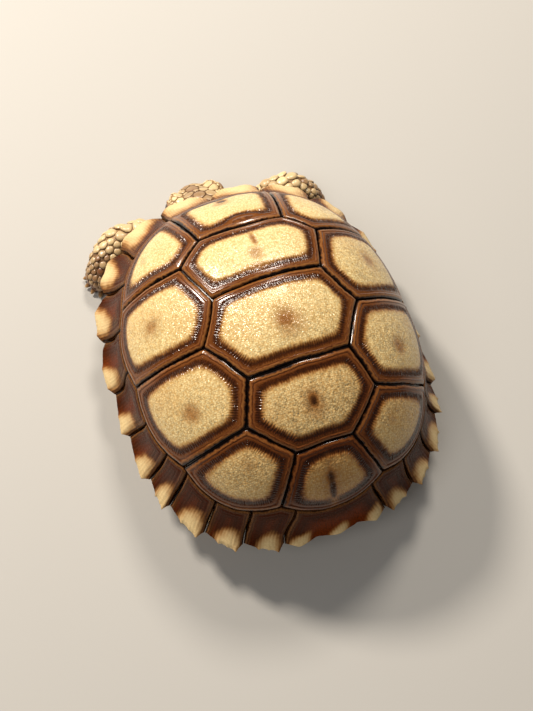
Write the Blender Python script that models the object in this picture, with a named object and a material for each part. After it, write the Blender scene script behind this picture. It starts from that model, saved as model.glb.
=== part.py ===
"""A young sulcata tortoise at life size, resting low on its plastron with its front legs out.

Built in Blender, in metres with +Z up. The head points to -Y and the animal's left is +X. Every size
below is in millimetres. The carapace follows one dome, on which each scute is an outline: a point of
the dome is (a, b), where a runs to the animal's left, b runs to its tail and the circle of radius 1 is
the seam between the costal and the marginal scutes.
"""

import math

import bmesh
import bpy
import numpy as np
from mathutils import Matrix, Vector

MM = 0.001
GAP = 0.32  # between pieces that meet

# The dome, from the plastron's underside at z = 0
HALF_WIDTH = 23.4
HALF_FRONT = 27.55
HALF_REAR = 27.4
TOP = 31.6
SEAM_HEIGHT = 17.5
SEAM_RISE_FRONT = 0.97
SEAM_RISE_REAR = 0.82
DOME_ANGLE = 1.212
DOME_SPREAD = 1.145
DOME_DROP = 1.05
SEAM_ROUNDNESS = 2.3

# The rim, out to the tips of the marginal scutes
RIM_HALF_WIDTH = 27.4
RIM_FRONT = 32.4
RIM_REAR = 31.75
RIM_ROUNDNESS = 2.66
RIM_HEIGHT = 7.45
RIM_RISE_FRONT = 5.4
RIM_RISE_REAR = 2.8

SCUTE_THICKNESS = 1.3
SCUTE_SWELL = 0.55
MARGINAL_THICKNESS = 1.4
OUTLINE_STEP = 2.9

# Corners between scutes on the animal's left, as (a, b); the right side mirrors them
V1_V2_C1 = (0.23, -0.54)
V2_C1_C2 = (0.385, -0.43)
V2_V3_C2 = (0.32, -0.19)
V3_C2_C3 = (0.477, 0.05)
V3_V4_C3 = (0.276, 0.287)
V4_C3_C4 = (0.346, 0.486)
V4_V5_C4 = (0.152, 0.671)

# Where the seams between them reach the marginals, in degrees from the animal's left towards its tail
V1_C1 = -71.3
C1_C2 = -31.0
C2_C3 = 1.0
C3_C4 = 36.5
C4_V5 = 72.0
# How far each scute's lower edge swells out past the circle of radius 1
LOWER_EDGES = (
    (V1_C1, C1_C2, 0.03),
    (C1_C2, C2_C3, 0.055),
    (C2_C3, C3_C4, 0.055),
    (C3_C4, C4_V5, 0.085),
    (C4_V5, 180.0 - C4_V5, 0.095),
)

# The seams between marginals 1 to 11, in degrees: at the top edge, and at the rim
MARGINAL_TOPS = (-90.0, -71.2, -52.8, -42.0, -24.5, -7.3, 14.3, 28.5, 38.5, 51.0, 62.8, 76.8)
MARGINAL_FEET = (-90.0, -73.1, -56.4, -41.8, -26.0, -6.7, 10.2, 26.7, 37.1, 50.3, 62.0, 73.9)
# Each marginal's saw tooth: how far along it, and how far out of the rim line
TOOTH = ((0.0, -0.9), (0.3, -0.45), (0.6, -0.1), (0.84, 0.25), (1.0, -0.8))
TAIL_TEETH = ((0.0, -0.7), (0.13, 0.35), (0.3, -0.55), (0.5, 0.3), (0.7, -0.55), (0.87, 0.35), (1.0, -0.7))

# Plastron
PLASTRON_THICKNESS = 1.6
BRIDGE_X = 20.3
BRIDGE_Z = 3.0
BRIDGE_BEND_X = 14.5

# Flesh
HEAD_CENTRE = Vector((0.8, -33.2, 6.5))
HEAD_YAW = 6.0
HEAD_PITCH = -22.0
EYE_RADIUS = 1.65
EYE_PLACE = Vector((2.5, 4.3, 0.45))  # forwards, to its left, up
NECK_CUT_Y = -27.6
TRUNK_FRONT = -19.0
TRUNK_REAR = 15.5

COLOURS = {
    "scute": (0.62, 0.45, 0.21, 1.0),
    "marginal": (0.30, 0.16, 0.07, 1.0),
    "plastron": (0.66, 0.52, 0.28, 1.0),
    "skin": (0.50, 0.36, 0.20, 1.0),
    "trunk": (0.10, 0.06, 0.04, 1.0),
    "eye": (0.02, 0.015, 0.01, 1.0),
}
ROUGHNESS = {"scute": 0.32, "marginal": 0.35, "plastron": 0.42, "skin": 0.6, "trunk": 0.7, "eye": 0.05}


# ---------------------------------------------------------------- objects and materials


def material(name, finish):
    """A Principled BSDF material of one of the finishes above."""
    made = bpy.data.materials.new(name)
    made.use_nodes = True
    shader = made.node_tree.nodes["Principled BSDF"]
    shader.inputs["Base Color"].default_value = COLOURS[finish]
    shader.inputs["Roughness"].default_value = ROUGHNESS[finish]
    shader.inputs["Metallic"].default_value = 0.0
    return made


def add_object(name, bm, finish=None):
    """The bmesh, in millimetres, as an object in metres with its normals facing out."""
    bmesh.ops.recalc_face_normals(bm, faces=bm.faces)
    bmesh.ops.scale(bm, vec=(MM, MM, MM), verts=bm.verts)
    mesh = bpy.data.meshes.new(name)
    bm.to_mesh(mesh)
    bm.free()
    made = bpy.data.objects.new(name, mesh)
    bpy.context.scene.collection.objects.link(made)
    if finish:
        mesh.materials.append(material(name, finish))
    return made


def loft(rings, close_start=True, close_end=True, around=True):
    """A bmesh that joins equal rings of points in order, each end filled or met in its middle."""
    bm = bmesh.new()
    loops = [[bm.verts.new(point) for point in ring] for ring in rings]
    count = len(loops[0])
    for first, second in zip(loops, loops[1:]):
        for i in range(count if around else count - 1):
            j = (i + 1) % count
            bm.faces.new((first[i], first[j], second[j], second[i]))
    for wanted, loop in ((close_start, loops[0]), (close_end, loops[-1])):
        if wanted:
            bm.faces.new(loop)
    return bm


def side_name(side):
    return "left" if side > 0 else "right"


# ---------------------------------------------------------------- the shell's surfaces


def superellipse(angle, width, front, rear, roundness):
    """Distance from the middle to the outline, at an angle in radians."""
    across, along = math.cos(angle), math.sin(angle)
    length = front if along < 0 else rear
    return ((abs(across) / width) ** roundness + (abs(along) / length) ** roundness) ** (-1 / roundness)


def seam_height(angle):
    along = math.sin(angle)
    return SEAM_HEIGHT + (SEAM_RISE_FRONT if along < 0 else SEAM_RISE_REAR) * along**2


def dome(a, b):
    """The dome's point at (a, b)."""
    reach = math.hypot(a, b)
    angle = math.atan2(b, a)
    tilt = reach * DOME_ANGLE
    out = superellipse(angle, HALF_WIDTH, HALF_FRONT, HALF_REAR, SEAM_ROUNDNESS)
    out *= (math.sin(tilt) / math.sin(DOME_ANGLE)) ** DOME_SPREAD
    low = math.cos(DOME_ANGLE) ** DOME_DROP
    base = seam_height(angle)
    height = base + (TOP - base) * (math.cos(tilt) ** DOME_DROP - low) / (1 - low)
    return Vector((out * math.cos(angle), out * math.sin(angle), height))


def dome_normal(a, b, step=1e-3):
    across = dome(a + step, b) - dome(a - step, b)
    along = dome(a, b + step) - dome(a, b - step)
    return across.cross(along).normalized()


def lower_edge(degrees):
    """(a, b) of the seam above the marginals, in the direction given in degrees."""
    past_tail = degrees > 180.0 - C4_V5
    left = 180.0 - degrees if past_tail else degrees
    reach = 1.0
    for start, end, swell in LOWER_EDGES:
        if start < left < end:
            reach += swell * math.sin(math.pi * (left - start) / (end - start))
    angle = math.radians(degrees)
    return (reach * math.cos(angle), reach * math.sin(angle))


def rim(degrees, out=0.0):
    """The rim's point, moved out of its line by some millimetres."""
    angle = math.radians(degrees)
    across, along = math.cos(angle), math.sin(angle)
    reach = out + superellipse(angle, RIM_HALF_WIDTH, RIM_FRONT, RIM_REAR, RIM_ROUNDNESS)
    rise = RIM_RISE_FRONT * abs(along) ** 2.2 if along < 0 else RIM_RISE_REAR * along**4
    return Vector((reach * across, reach * along, RIM_HEIGHT + rise - 0.5 * out))


# ---------------------------------------------------------------- carapace


def outline(corners):
    """Points (a, b) along a scute's edge. A corner is (a, b), or degrees where it lies on the lower edge."""
    points = []
    for start, end in zip(corners, corners[1:] + corners[:1]):
        on_edge = not isinstance(start, tuple) and not isinstance(end, tuple)
        first = start if isinstance(start, tuple) else lower_edge(start)
        last = end if isinstance(end, tuple) else lower_edge(end)
        steps = max(2, round((dome(*first) - dome(*last)).length / OUTLINE_STEP))
        for i in range(steps):
            t = i / steps
            if on_edge:
                points.append(lower_edge(start + (end - start) * t))
            else:
                points.append(tuple(first[k] + (last[k] - first[k]) * t for k in (0, 1)))
    return points


def inset(points, distance):
    """The outline's points on the dome, each moved in from its edge along the surface."""
    surface = [dome(*point) for point in points]
    moved = []
    for i, point in enumerate(points):
        before = (surface[i] - surface[i - 1]).normalized()
        after = (surface[(i + 1) % len(points)] - surface[i]).normalized()
        normal = dome_normal(*point)
        inwards = (normal.cross(before) + normal.cross(after)) / 2
        moved.append(surface[i] + inwards / max(inwards.length_squared, 0.35) * distance)
    return moved


def counter_clockwise(points):
    area = sum(p[0] * q[1] - q[0] * p[1] for p, q in zip(points, points[1:] + points[:1]))
    return points if area > 0 else points[::-1]


def add_scute(name, corners, swell=SCUTE_SWELL):
    """A scute of the dome: a plate with a low rounded swell, whose sides drop to the seams."""
    edge = counter_clockwise(outline(corners))
    centre = tuple(sum(point[k] for point in edge) / len(edge) for k in (0, 1))

    def ring(share, height):
        found = []
        for point in edge:
            inner = tuple(centre[k] + (point[k] - centre[k]) * share for k in (0, 1))
            found.append(dome(*inner) + dome_normal(*inner) * height)
        return found

    border = inset(edge, GAP / 2)
    normals = [dome_normal(*point) for point in edge]
    floor = [point - normal * SCUTE_THICKNESS for point, normal in zip(border, normals)]
    lip = [point - normal * 0.4 for point, normal in zip(border, normals)]
    rings = [ring(0.45, -SCUTE_THICKNESS), floor, lip, ring(0.9, 0.12), ring(0.5, 0.75 * swell)]
    bm = loft(rings, close_start=False, close_end=False)
    bm.verts.ensure_lookup_table()
    count = len(edge)
    for start, height in ((0, -SCUTE_THICKNESS), (len(rings) * count - count, swell)):
        middle = bm.verts.new(dome(*centre) + dome_normal(*centre) * height)
        bm.verts.ensure_lookup_table()
        for i in range(count):
            bm.faces.new((bm.verts[start + i], bm.verts[start + (i + 1) % count], middle))
    return add_object(name, bm, "scute")


def mirrored_corners(corners, side):
    """The same corners on the left (side 1) or the right (side -1)."""
    if side > 0:
        return list(corners)
    return [(-c[0], c[1]) if isinstance(c, tuple) else 180.0 - c for c in corners]


def across(*corners):
    """A vertebral scute's corners: those of its left side, front to rear, then the same on its right."""
    return mirrored_corners(corners, 1) + mirrored_corners(corners, -1)[::-1]


def make_dome_scutes():
    front = mirrored_corners((V1_V2_C1, V1_C1), 1) + [-180.0 - V1_C1, (-V1_V2_C1[0], V1_V2_C1[1])]
    add_scute("vertebral_1", front)
    add_scute("vertebral_2", across(V1_V2_C1, V2_C1_C2, V2_V3_C2))
    add_scute("vertebral_3", across(V2_V3_C2, V3_C2_C3, V3_V4_C3))
    add_scute("vertebral_4", across(V3_V4_C3, V4_C3_C4, V4_V5_C4))
    add_scute("vertebral_5", across(V4_V5_C4, C4_V5))
    costals = (
        (V1_V2_C1, V2_C1_C2, C1_C2, V1_C1),
        (V2_C1_C2, V2_V3_C2, V3_C2_C3, C2_C3, C1_C2),
        (V3_C2_C3, V3_V4_C3, V4_C3_C4, C3_C4, C2_C3),
        (V4_C3_C4, V4_V5_C4, C4_V5, C3_C4),
    )
    for side in (1, -1):
        for number, corners in enumerate(costals, 1):
            add_scute(f"costal_{side_name(side)}_{number}", mirrored_corners(corners, side), 0.45)


def marginal_section(top_degrees, foot_degrees, tooth):
    """One cut through the rim: down the outer face, round the edge, in below it and up the inside."""
    edge = lower_edge(top_degrees)
    start, end = dome(*edge), rim(foot_degrees, tooth)
    normal = dome_normal(*edge)
    sideways = Vector((-math.sin(math.radians(top_degrees)), math.cos(math.radians(top_degrees)), 0.0))
    down = sideways.cross(normal).normalized()
    down = down if down.z < 0 else -down
    outwards = Vector((end.x, end.y, 0.0)).normalized()
    length = (end - start).length
    flare = (outwards * 0.8 + Vector((0, 0, -0.6))) * length * 1.1

    def face(t):
        t2, t3 = t * t, t * t * t
        return (
            start * (2 * t3 - 3 * t2 + 1)
            + down * length * (t3 - 2 * t2 + t)
            + end * (3 * t2 - 2 * t3)
            + flare * (t3 - t2)
        )

    bridge = max(0.0, min(1.0, (14.0 - abs(end.y)) / 3.0))
    open_inner = end - outwards * 3.4 + Vector((0, 0, -1.2))
    bridge_inner = Vector((math.copysign(BRIDGE_X + GAP + 0.15, end.x), end.y * 0.97, BRIDGE_Z + 0.55))
    inner = open_inner.lerp(bridge_inner, bridge)
    inside = MARGINAL_THICKNESS
    first = face(GAP / 2 / length)
    return [
        first,
        face(0.35),
        face(0.7),
        end,
        end - outwards * 0.55 + Vector((0, 0, -0.75)),
        inner,
        inner + Vector((0, 0, 1.35)) - outwards * 0.1,
        face(0.62) - normal.lerp(outwards, 0.6).normalized() * (inside + 0.2),
        first - normal * inside,
    ]


def add_marginal(name, tops, feet, teeth, side):
    """One marginal scute between two seams, with its teeth along the rim."""
    rings = []
    for share, out in teeth:
        clear = GAP / 2 / RIM_FRONT * (1 if share == 0 else -1 if share == 1 else 0)
        top = tops[0] + (tops[1] - tops[0]) * share + math.degrees(clear) * 1.25
        foot = feet[0] + (feet[1] - feet[0]) * share + math.degrees(clear)
        ring = marginal_section(top, foot, out)
        rings.append([Vector((side * point.x, point.y, point.z)) for point in ring])
    return add_object(name, loft(rings), "marginal")


def make_marginals():
    for side in (1, -1):
        for number in range(1, 12):
            tops = MARGINAL_TOPS[number - 1 : number + 1]
            feet = MARGINAL_FEET[number - 1 : number + 1]
            add_marginal(f"marginal_{side_name(side)}_{number}", tops, feet, TOOTH, side)
    tops = (MARGINAL_TOPS[-1], 180.0 - MARGINAL_TOPS[-1])
    feet = (MARGINAL_FEET[-1], 180.0 - MARGINAL_FEET[-1])
    add_marginal("supracaudal", tops, feet, TAIL_TEETH, 1)


# ---------------------------------------------------------------- plastron


def add_flat_scute(name, points, side):
    """A plastron scute of even thickness, flat below, with its lower edge eased."""
    rings = []
    middle = Vector((sum(p[0] for p in points), sum(p[1] for p in points))) / len(points)
    for shrink, height in ((0.35, 0.0), (0.0, 0.35), (0.0, PLASTRON_THICKNESS)):
        ring = []
        for x, y in points:
            inwards = (middle - Vector((x, y))).normalized() * (shrink + GAP / 2)
            ring.append(Vector((side * (x + inwards.x), y + inwards.y, height)))
        rings.append(ring)
    return add_object(name, loft(rings), "plastron")


def add_bridge_scute(name, start_y, end_y, outer_ys, side):
    """A plastron scute that carries on outwards and up into the bridge."""
    rings = []
    for share in (0.0, 0.5, 1.0):
        y = start_y + GAP / 2 + (end_y - start_y - GAP) * share
        outer_y = outer_ys[0] + GAP / 2 + (outer_ys[1] - outer_ys[0] - GAP) * share
        bend = Vector((BRIDGE_BEND_X, y + (outer_y - y) * 0.5, 0.0))
        rise = Vector((17.9, y + (outer_y - y) * 0.8, 0.9))
        tip = Vector((BRIDGE_X, outer_y, BRIDGE_Z))
        below = [Vector((GAP / 2, y, 0.0)), bend, rise, tip]
        above = [point + Vector((-0.35 * k, 0, PLASTRON_THICKNESS)) for k, point in enumerate(below)]
        above[0].x = GAP / 2
        ring = below + above[::-1]
        rings.append([Vector((side * point.x, point.y, point.z)) for point in ring])
    return add_object(name, loft(rings), "plastron")


def make_plastron():
    gular = ((0.0, -24.0), (0.0, -28.7), (2.4, -29.6), (4.4, -29.0), (6.2, -26.9))
    humeral = (
        (0.0, -14.6), (0.0, -24.0), (6.2, -26.9), (8.9, -24.6), (11.2, -21.4), (12.6, -17.6), (13.2, -14.0)
    )
    femoral = ((0.0, 11.4), (13.4, 12.0), (11.6, 14.8), (10.3, 18.6), (9.9, 21.8), (0.0, 19.2))
    anal = ((0.0, 19.2), (9.9, 21.8), (8.8, 24.8), (6.6, 27.0), (4.3, 27.9), (2.4, 27.2), (0.0, 25.2))
    for side in (1, -1):
        end = side_name(side)
        add_flat_scute(f"gular_{end}", gular, side)
        add_flat_scute(f"humeral_{end}", humeral, side)
        add_bridge_scute(f"pectoral_{end}", -14.4, -9.2, (-12.2, -9.2), side)
        add_bridge_scute(f"abdominal_{end}", -9.0, 11.2, (-9.0, 12.0), side)
        add_flat_scute(f"femoral_{end}", femoral, side)
        add_flat_scute(f"anal_{end}", anal, side)


# ---------------------------------------------------------------- flesh


def ellipsoid(bm, centre, radii, turn=None):
    """Adds an ellipsoid to the bmesh, turned by a rotation matrix about its centre."""
    place = Matrix.Translation(centre) @ (turn.to_4x4() if turn else Matrix())
    place = place @ Matrix.Diagonal((*radii, 1.0))
    bmesh.ops.create_icosphere(bm, subdivisions=3, radius=1.0, matrix=place)


def limb(bm, joints):
    """Adds a limb to the bmesh: tapered lengths between balls of the given centres and radii."""
    for (start, first), (end, second) in zip(joints, joints[1:]):
        steps = max(2, math.ceil((Vector(end) - Vector(start)).length / 0.7))
        for i in range(steps + 1):
            t = i / steps
            radius = first + (second - first) * t
            ellipsoid(bm, Vector(start).lerp(Vector(end), t), (radius, radius, radius))


def moulded(name, bm, voxel, smoothing=6):
    """Overlapping forms fused into one smooth skin, returned as a bmesh in millimetres."""
    rough = add_object(name + "_rough", bm)
    remesh = rough.modifiers.new("fuse", "REMESH")
    remesh.mode = "VOXEL"
    remesh.voxel_size = voxel * MM
    smooth = rough.modifiers.new("smooth", "SMOOTH")
    smooth.factor = 0.5
    smooth.iterations = smoothing
    graph = bpy.context.evaluated_depsgraph_get()
    fused = bpy.data.meshes.new_from_object(rough.evaluated_get(graph))
    bpy.data.objects.remove(rough)
    result = bmesh.new()
    result.from_mesh(fused)
    bmesh.ops.scale(result, vec=(1 / MM, 1 / MM, 1 / MM), verts=result.verts)
    return result


def keep_side(bm, point, normal):
    """Cuts the bmesh with a plane and keeps what lies behind the plane's normal."""
    whole = bm.verts[:] + bm.edges[:] + bm.faces[:]
    bmesh.ops.bisect_plane(bm, geom=whole, plane_co=point, plane_no=normal, clear_outer=True, dist=1e-5)
    rim_edges = [edge for edge in bm.edges if edge.is_boundary]
    bmesh.ops.holes_fill(bm, edges=rim_edges, sides=0)
    bmesh.ops.triangulate(bm, faces=[face for face in bm.faces if len(face.verts) > 4])


def stand_on_floor(bm):
    for vert in bm.verts:
        vert.co.z = max(vert.co.z, 0.0)


def add_flesh(name, bm, triangles, finish="skin"):
    """The moulded form as a node, thinned to about the number of triangles given."""
    bmesh.ops.triangulate(bm, faces=bm.faces)
    ratio = min(1.0, triangles / len(bm.faces))
    made = add_object(name, bm, finish)
    thin = made.modifiers.new("thin", "DECIMATE")
    thin.ratio = ratio
    return made


def add_claws(owner, places):
    """Joins curved, pointed claws to a foot. Each place is a root, a direction and a length."""
    bm = bmesh.new()
    for root, direction, length in places:
        forward = Vector(direction).normalized()
        turn = Vector((0, 0, 1)).rotation_difference(forward).to_matrix()
        rings = []
        for share, radius in ((-0.5, 0.6), (0.3, 0.56), (0.75, 0.38), (1.0, 0.16)):
            droop = Vector((0, 0, -0.35)) * max(0.0, share) ** 2 * length
            centre = Vector(root) + forward * share * length + droop
            around = [Vector((math.cos(k * math.tau / 6), math.sin(k * math.tau / 6), 0)) for k in range(6)]
            ring = [centre + turn @ (spoke * radius) for spoke in around]
            rings.append([Vector((p.x, p.y, max(p.z, 0.02))) for p in ring])
        part = loft(rings)
        piece = bpy.data.meshes.new("claw")
        part.to_mesh(piece)
        part.free()
        bm.from_mesh(piece)
        bpy.data.meshes.remove(piece)
    cutter = add_object(owner.name + "_claws", bm)
    cutter.hide_render = True
    cutter.display_type = "WIRE"
    union = owner.modifiers.new("claws", "BOOLEAN")
    union.operation = "UNION"
    union.solver = "EXACT"
    union.object = cutter


def fan_of_claws(centre, reach, height, facing, spread, count, length):
    """Claw places in a fan round a foot, from its facing in degrees."""
    places = []
    for i in range(count):
        angle = math.radians(facing + spread * (i / (count - 1) - 0.5))
        out = Vector((math.cos(angle), math.sin(angle), 0.0))
        root = Vector((centre[0], centre[1], height)) + out * reach
        places.append((root, out + Vector((0, 0, -0.12)), length))
    return places


def head_turn():
    """The head's own axes as columns: forwards, to its left, up."""
    yaw = Matrix.Rotation(math.radians(HEAD_YAW), 3, "Z")
    pitch = Matrix.Rotation(math.radians(-HEAD_PITCH), 3, "X")
    axes = Matrix(((0, 1, 0), (-1, 0, 0), (0, 0, 1)))
    return yaw @ pitch @ axes


def make_head_and_neck():
    turn = head_turn()
    bm = bmesh.new()

    def form(forwards, left, up, radii):
        for side in (1, -1) if left else (1,):
            ellipsoid(bm, HEAD_CENTRE + turn @ Vector((forwards, side * left, up)), radii, turn)

    form(-1.3, 0.0, 0.3, (5.7, 5.5, 4.0))  # skull
    form(-2.6, 3.6, -0.5, (3.3, 2.6, 3.1))  # jaw muscle behind each eye
    form(2.2, 3.6, 1.45, (2.5, 1.9, 1.8))  # brow over each eye
    form(3.0, 0.0, 0.1, (3.6, 3.9, 3.0))  # snout
    form(4.3, 0.0, -0.7, (2.7, 3.0, 2.5))  # beak
    form(1.8, 0.0, -2.4, (4.5, 4.3, 1.8))  # lower jaw
    back = HEAD_CENTRE + turn @ Vector((-4.0, 0, -0.1))
    limb(bm, (((0.4, TRUNK_FRONT + 1.0, 7.2), 4.3), ((0.8, -24.5, 7.0), 4.1), (back, 3.9)))
    whole = moulded("head", bm, 0.42, 4)
    neck = whole.copy()
    keep_side(neck, (0, TRUNK_FRONT - GAP, 0), (0, 1, 0))
    keep_side(neck, (0, NECK_CUT_Y + GAP / 2, 0), (0, -1, 0))
    keep_side(whole, (0, NECK_CUT_Y - GAP / 2, 0), (0, 1, 0))
    add_flesh("neck", neck, 240)
    head = add_flesh("head", whole, 1100)
    for side in (1, -1):
        centre = HEAD_CENTRE + turn @ Vector((EYE_PLACE.x, side * EYE_PLACE.y, EYE_PLACE.z))
        place = Matrix.Translation(centre)
        socket = bmesh.new()
        bmesh.ops.create_icosphere(socket, subdivisions=3, radius=EYE_RADIUS + GAP, matrix=place)
        cutter = add_object(f"socket_{side_name(side)}", socket)
        cutter.hide_render = True
        cutter.display_type = "WIRE"
        cut = head.modifiers.new(cutter.name, "BOOLEAN")
        cut.operation = "DIFFERENCE"
        cut.solver = "EXACT"
        cut.object = cutter
        eye = bmesh.new()
        bmesh.ops.create_icosphere(eye, subdivisions=2, radius=EYE_RADIUS, matrix=place)
        add_object(f"eye_{side_name(side)}", eye, "eye")


def make_front_legs():
    legs = {
        "left": (
            ((11.8, TRUNK_FRONT, 6.9), 3.6),
            ((12.8, -25.0, 6.2), 3.9),
            ((13.4, -30.6, 5.6), 4.0),
            ((17.2, -31.0, 5.0), 3.8),
            ((20.0, -29.3, 4.0), 3.5),
            ((21.3, -28.1, 2.4), 3.4),
        ),
        "right": (
            ((-11.8, TRUNK_FRONT, 6.9), 3.6),
            ((-12.8, -25.4, 6.2), 3.9),
            ((-13.1, -31.4, 5.6), 4.0),
            ((-16.6, -32.2, 5.0), 3.8),
            ((-19.0, -31.2, 4.0), 3.5),
            ((-20.1, -30.2, 2.4), 3.4),
        ),
    }
    for end, joints in legs.items():
        bm = bmesh.new()
        limb(bm, joints)
        form = moulded("leg", bm, 0.5)
        keep_side(form, (0, TRUNK_FRONT - GAP, 0), (0, 1, 0))
        stand_on_floor(form)
        leg = add_flesh(f"leg_front_{end}", form, 520)
        foot = joints[-1][0]
        facing = 8.0 if end == "left" else 172.0
        add_claws(leg, fan_of_claws(foot, 2.75, 0.85, facing, 104.0, 5, 1.45))


def make_hind_legs():
    for side in (1, -1):
        joints = (
            ((side * 11.8, TRUNK_REAR, 6.0), 3.4),
            ((side * 15.0, 18.6, 5.9), 3.7),
            ((side * 15.0, 21.2, 4.6), 3.6),
            ((side * 14.6, 21.8, 2.4), 3.4),
        )
        bm = bmesh.new()
        limb(bm, joints)
        form = moulded("leg", bm, 0.5)
        keep_side(form, (0, TRUNK_REAR + GAP, 0), (0, -1, 0))
        stand_on_floor(form)
        leg = add_flesh(f"leg_hind_{side_name(side)}", form, 460)
        facing = 5.0 if side > 0 else 175.0
        add_claws(leg, fan_of_claws(joints[-1][0], 2.8, 0.85, facing, 84.0, 4, 1.4))


def make_tail():
    bm = bmesh.new()
    joints = (
        ((0.0, TRUNK_REAR, 6.0), 2.7),
        ((0.3, 21.5, 5.2), 2.3),
        ((1.2, 25.8, 4.2), 1.4),
        ((2.6, 28.2, 3.2), 0.7),
    )
    limb(bm, joints)
    form = moulded("tail", bm, 0.4, 3)
    keep_side(form, (0, TRUNK_REAR + GAP, 0), (0, -1, 0))
    add_flesh("tail", form, 200)


def make_trunk():
    """The body inside the shell: it follows the scutes from below, and its ends leave room for the limbs."""
    turns = [math.tau * (k + 0.5) / 26 for k in range(26)]
    rings = []
    for reach in (0.28, 0.55, 0.78, 0.97):
        ring = []
        for angle in turns:
            a, b = reach * math.cos(angle), reach * math.sin(angle)
            ring.append(dome(a, b) - dome_normal(a, b) * (SCUTE_THICKNESS + 0.85))
        rings.append(ring)
    lower = ((22.2, 27.0, 27.0, 11.0), (18.3, 22.0, 19.0, 5.2), (14.0, 20.0, 18.0, 2.1))
    for width, front, rear, height in lower:
        ring = []
        for angle in turns:
            out = superellipse(angle, width, front, rear, SEAM_ROUNDNESS)
            ring.append(Vector((out * math.cos(angle), out * math.sin(angle), height)))
        rings.append(ring)
    for ring in rings:
        for point in ring:
            raised = max(0.0, min(1.0, (point.z - 12.2) / 2.5))
            point.y = max(point.y, TRUNK_FRONT - 5.0 * raised)
            point.y = min(point.y, TRUNK_REAR + 8.0 * raised)
    add_object("trunk", loft(rings), "trunk")


# ---------------------------------------------------------------- the whole animal


def centre_on_floor():
    """Moves every mesh so that the origin is under the middle of the body, on the floor."""
    bpy.context.view_layer.update()
    graph = bpy.context.evaluated_depsgraph_get()
    shown = [obj for obj in bpy.context.scene.objects if obj.type == "MESH" and not obj.hide_render]
    low, high = np.full(3, np.inf), np.full(3, -np.inf)
    for obj in shown:
        mesh = obj.evaluated_get(graph).to_mesh()
        points = np.empty(len(mesh.vertices) * 3, np.float32)
        mesh.vertices.foreach_get("co", points)
        points = points.reshape(-1, 3)
        low, high = np.minimum(low, points.min(axis=0)), np.maximum(high, points.max(axis=0))
        obj.evaluated_get(graph).to_mesh_clear()
    shift = Matrix.Translation((-(low[0] + high[0]) / 2, -(low[1] + high[1]) / 2, -low[2]))
    for obj in bpy.context.scene.objects:
        if obj.type == "MESH":
            obj.data.transform(shift)


def main():
    for obj in list(bpy.data.objects):
        bpy.data.objects.remove(obj)
    make_dome_scutes()
    make_marginals()
    make_plastron()
    make_trunk()
    make_head_and_neck()
    make_front_legs()
    make_hind_legs()
    make_tail()
    centre_on_floor()


main()
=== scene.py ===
"""Finish of a young sulcata tortoise at life size: its keratin shell, scaled skin, eyes and claws.

The frame gives the solids in metres, with the head towards -Y, the animal's left at +X and the floor at
z = 0. Sizes here are in millimetres. The shell follows the same dome as its solids: a point of the dome
is (a, b), where a runs to the animal's left, b to its tail, and the circle of radius 1 is the seam
between the costal and the marginal scutes.
"""

from __future__ import annotations

import logging
import math
from dataclasses import dataclass, field
from enum import Enum
from functools import partial

import bmesh
import bpy
import numpy as np
from bpy.types import Material, Mesh, Node, NodeSocket, NodeTree, Object
from mathutils import Matrix, Vector, kdtree
from mathutils.bvhtree import BVHTree
from mathutils.geometry import delaunay_2d_cdt, tessellate_polygon

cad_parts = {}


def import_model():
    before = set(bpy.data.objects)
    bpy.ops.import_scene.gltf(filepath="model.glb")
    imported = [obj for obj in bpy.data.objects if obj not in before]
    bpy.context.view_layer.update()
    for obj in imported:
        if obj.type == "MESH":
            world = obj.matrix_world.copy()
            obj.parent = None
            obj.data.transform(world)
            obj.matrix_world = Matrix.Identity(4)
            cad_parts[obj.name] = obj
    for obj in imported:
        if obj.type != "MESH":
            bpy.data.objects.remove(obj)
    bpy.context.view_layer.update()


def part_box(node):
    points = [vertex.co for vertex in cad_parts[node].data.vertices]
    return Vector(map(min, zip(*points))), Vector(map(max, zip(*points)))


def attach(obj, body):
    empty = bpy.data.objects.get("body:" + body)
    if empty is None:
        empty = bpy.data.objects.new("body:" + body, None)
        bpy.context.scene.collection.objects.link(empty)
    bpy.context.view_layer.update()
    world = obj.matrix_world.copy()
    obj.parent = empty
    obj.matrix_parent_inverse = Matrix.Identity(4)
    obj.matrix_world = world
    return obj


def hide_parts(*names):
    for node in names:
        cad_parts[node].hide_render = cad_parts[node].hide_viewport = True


LOG = logging.getLogger("tortoise")
MM = 0.001
ABDOMINAL_FRONT = -8.84  # where the abdominal scutes' solids begin along the shell, before it was moved
Array = np.ndarray
Pair = tuple[float, float]
Triple = tuple[float, float, float]
Corner = Pair | float
Mark = tuple[float, float, float, float, float]
Look = object  # a node or socket to link, a hex colour, or a value
# What a point of the skin can lie on: a part with a number in Flesh.limbs, or the head
HEAD, NECK, FRONT_LEGS, HIND_LEGS = -1, 0, (1, 2), (3, 4)


class Side(Enum):
    """A side of the animal, with the sign of x there."""

    LEFT = 1
    RIGHT = -1

    @property
    def word(self) -> str:
        """The side's name in a piece's name."""
        return self.name.lower()


# ---------------------------------------------------------------- meshes


def triangles_of_grid(rows: int, columns: int, around: bool = False) -> Array:
    """The triangles of a grid of points that is stored row by row.

    Args:
        rows: Number of rows.
        columns: Number of points in each row.
        around: Whether each row closes on itself.

    Returns:
        Point numbers, three to a triangle.
    """
    row, column = np.meshgrid(np.arange(rows - 1), np.arange(columns - (0 if around else 1)), indexing="ij")
    after = (column + 1) % columns
    first, second = row * columns + column, row * columns + after
    third, fourth = (row + 1) * columns + after, (row + 1) * columns + column
    halves = ([first, second, third], [first, third, fourth])
    return np.concatenate([np.stack(half, axis=-1).reshape(-1, 3) for half in halves])


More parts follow.
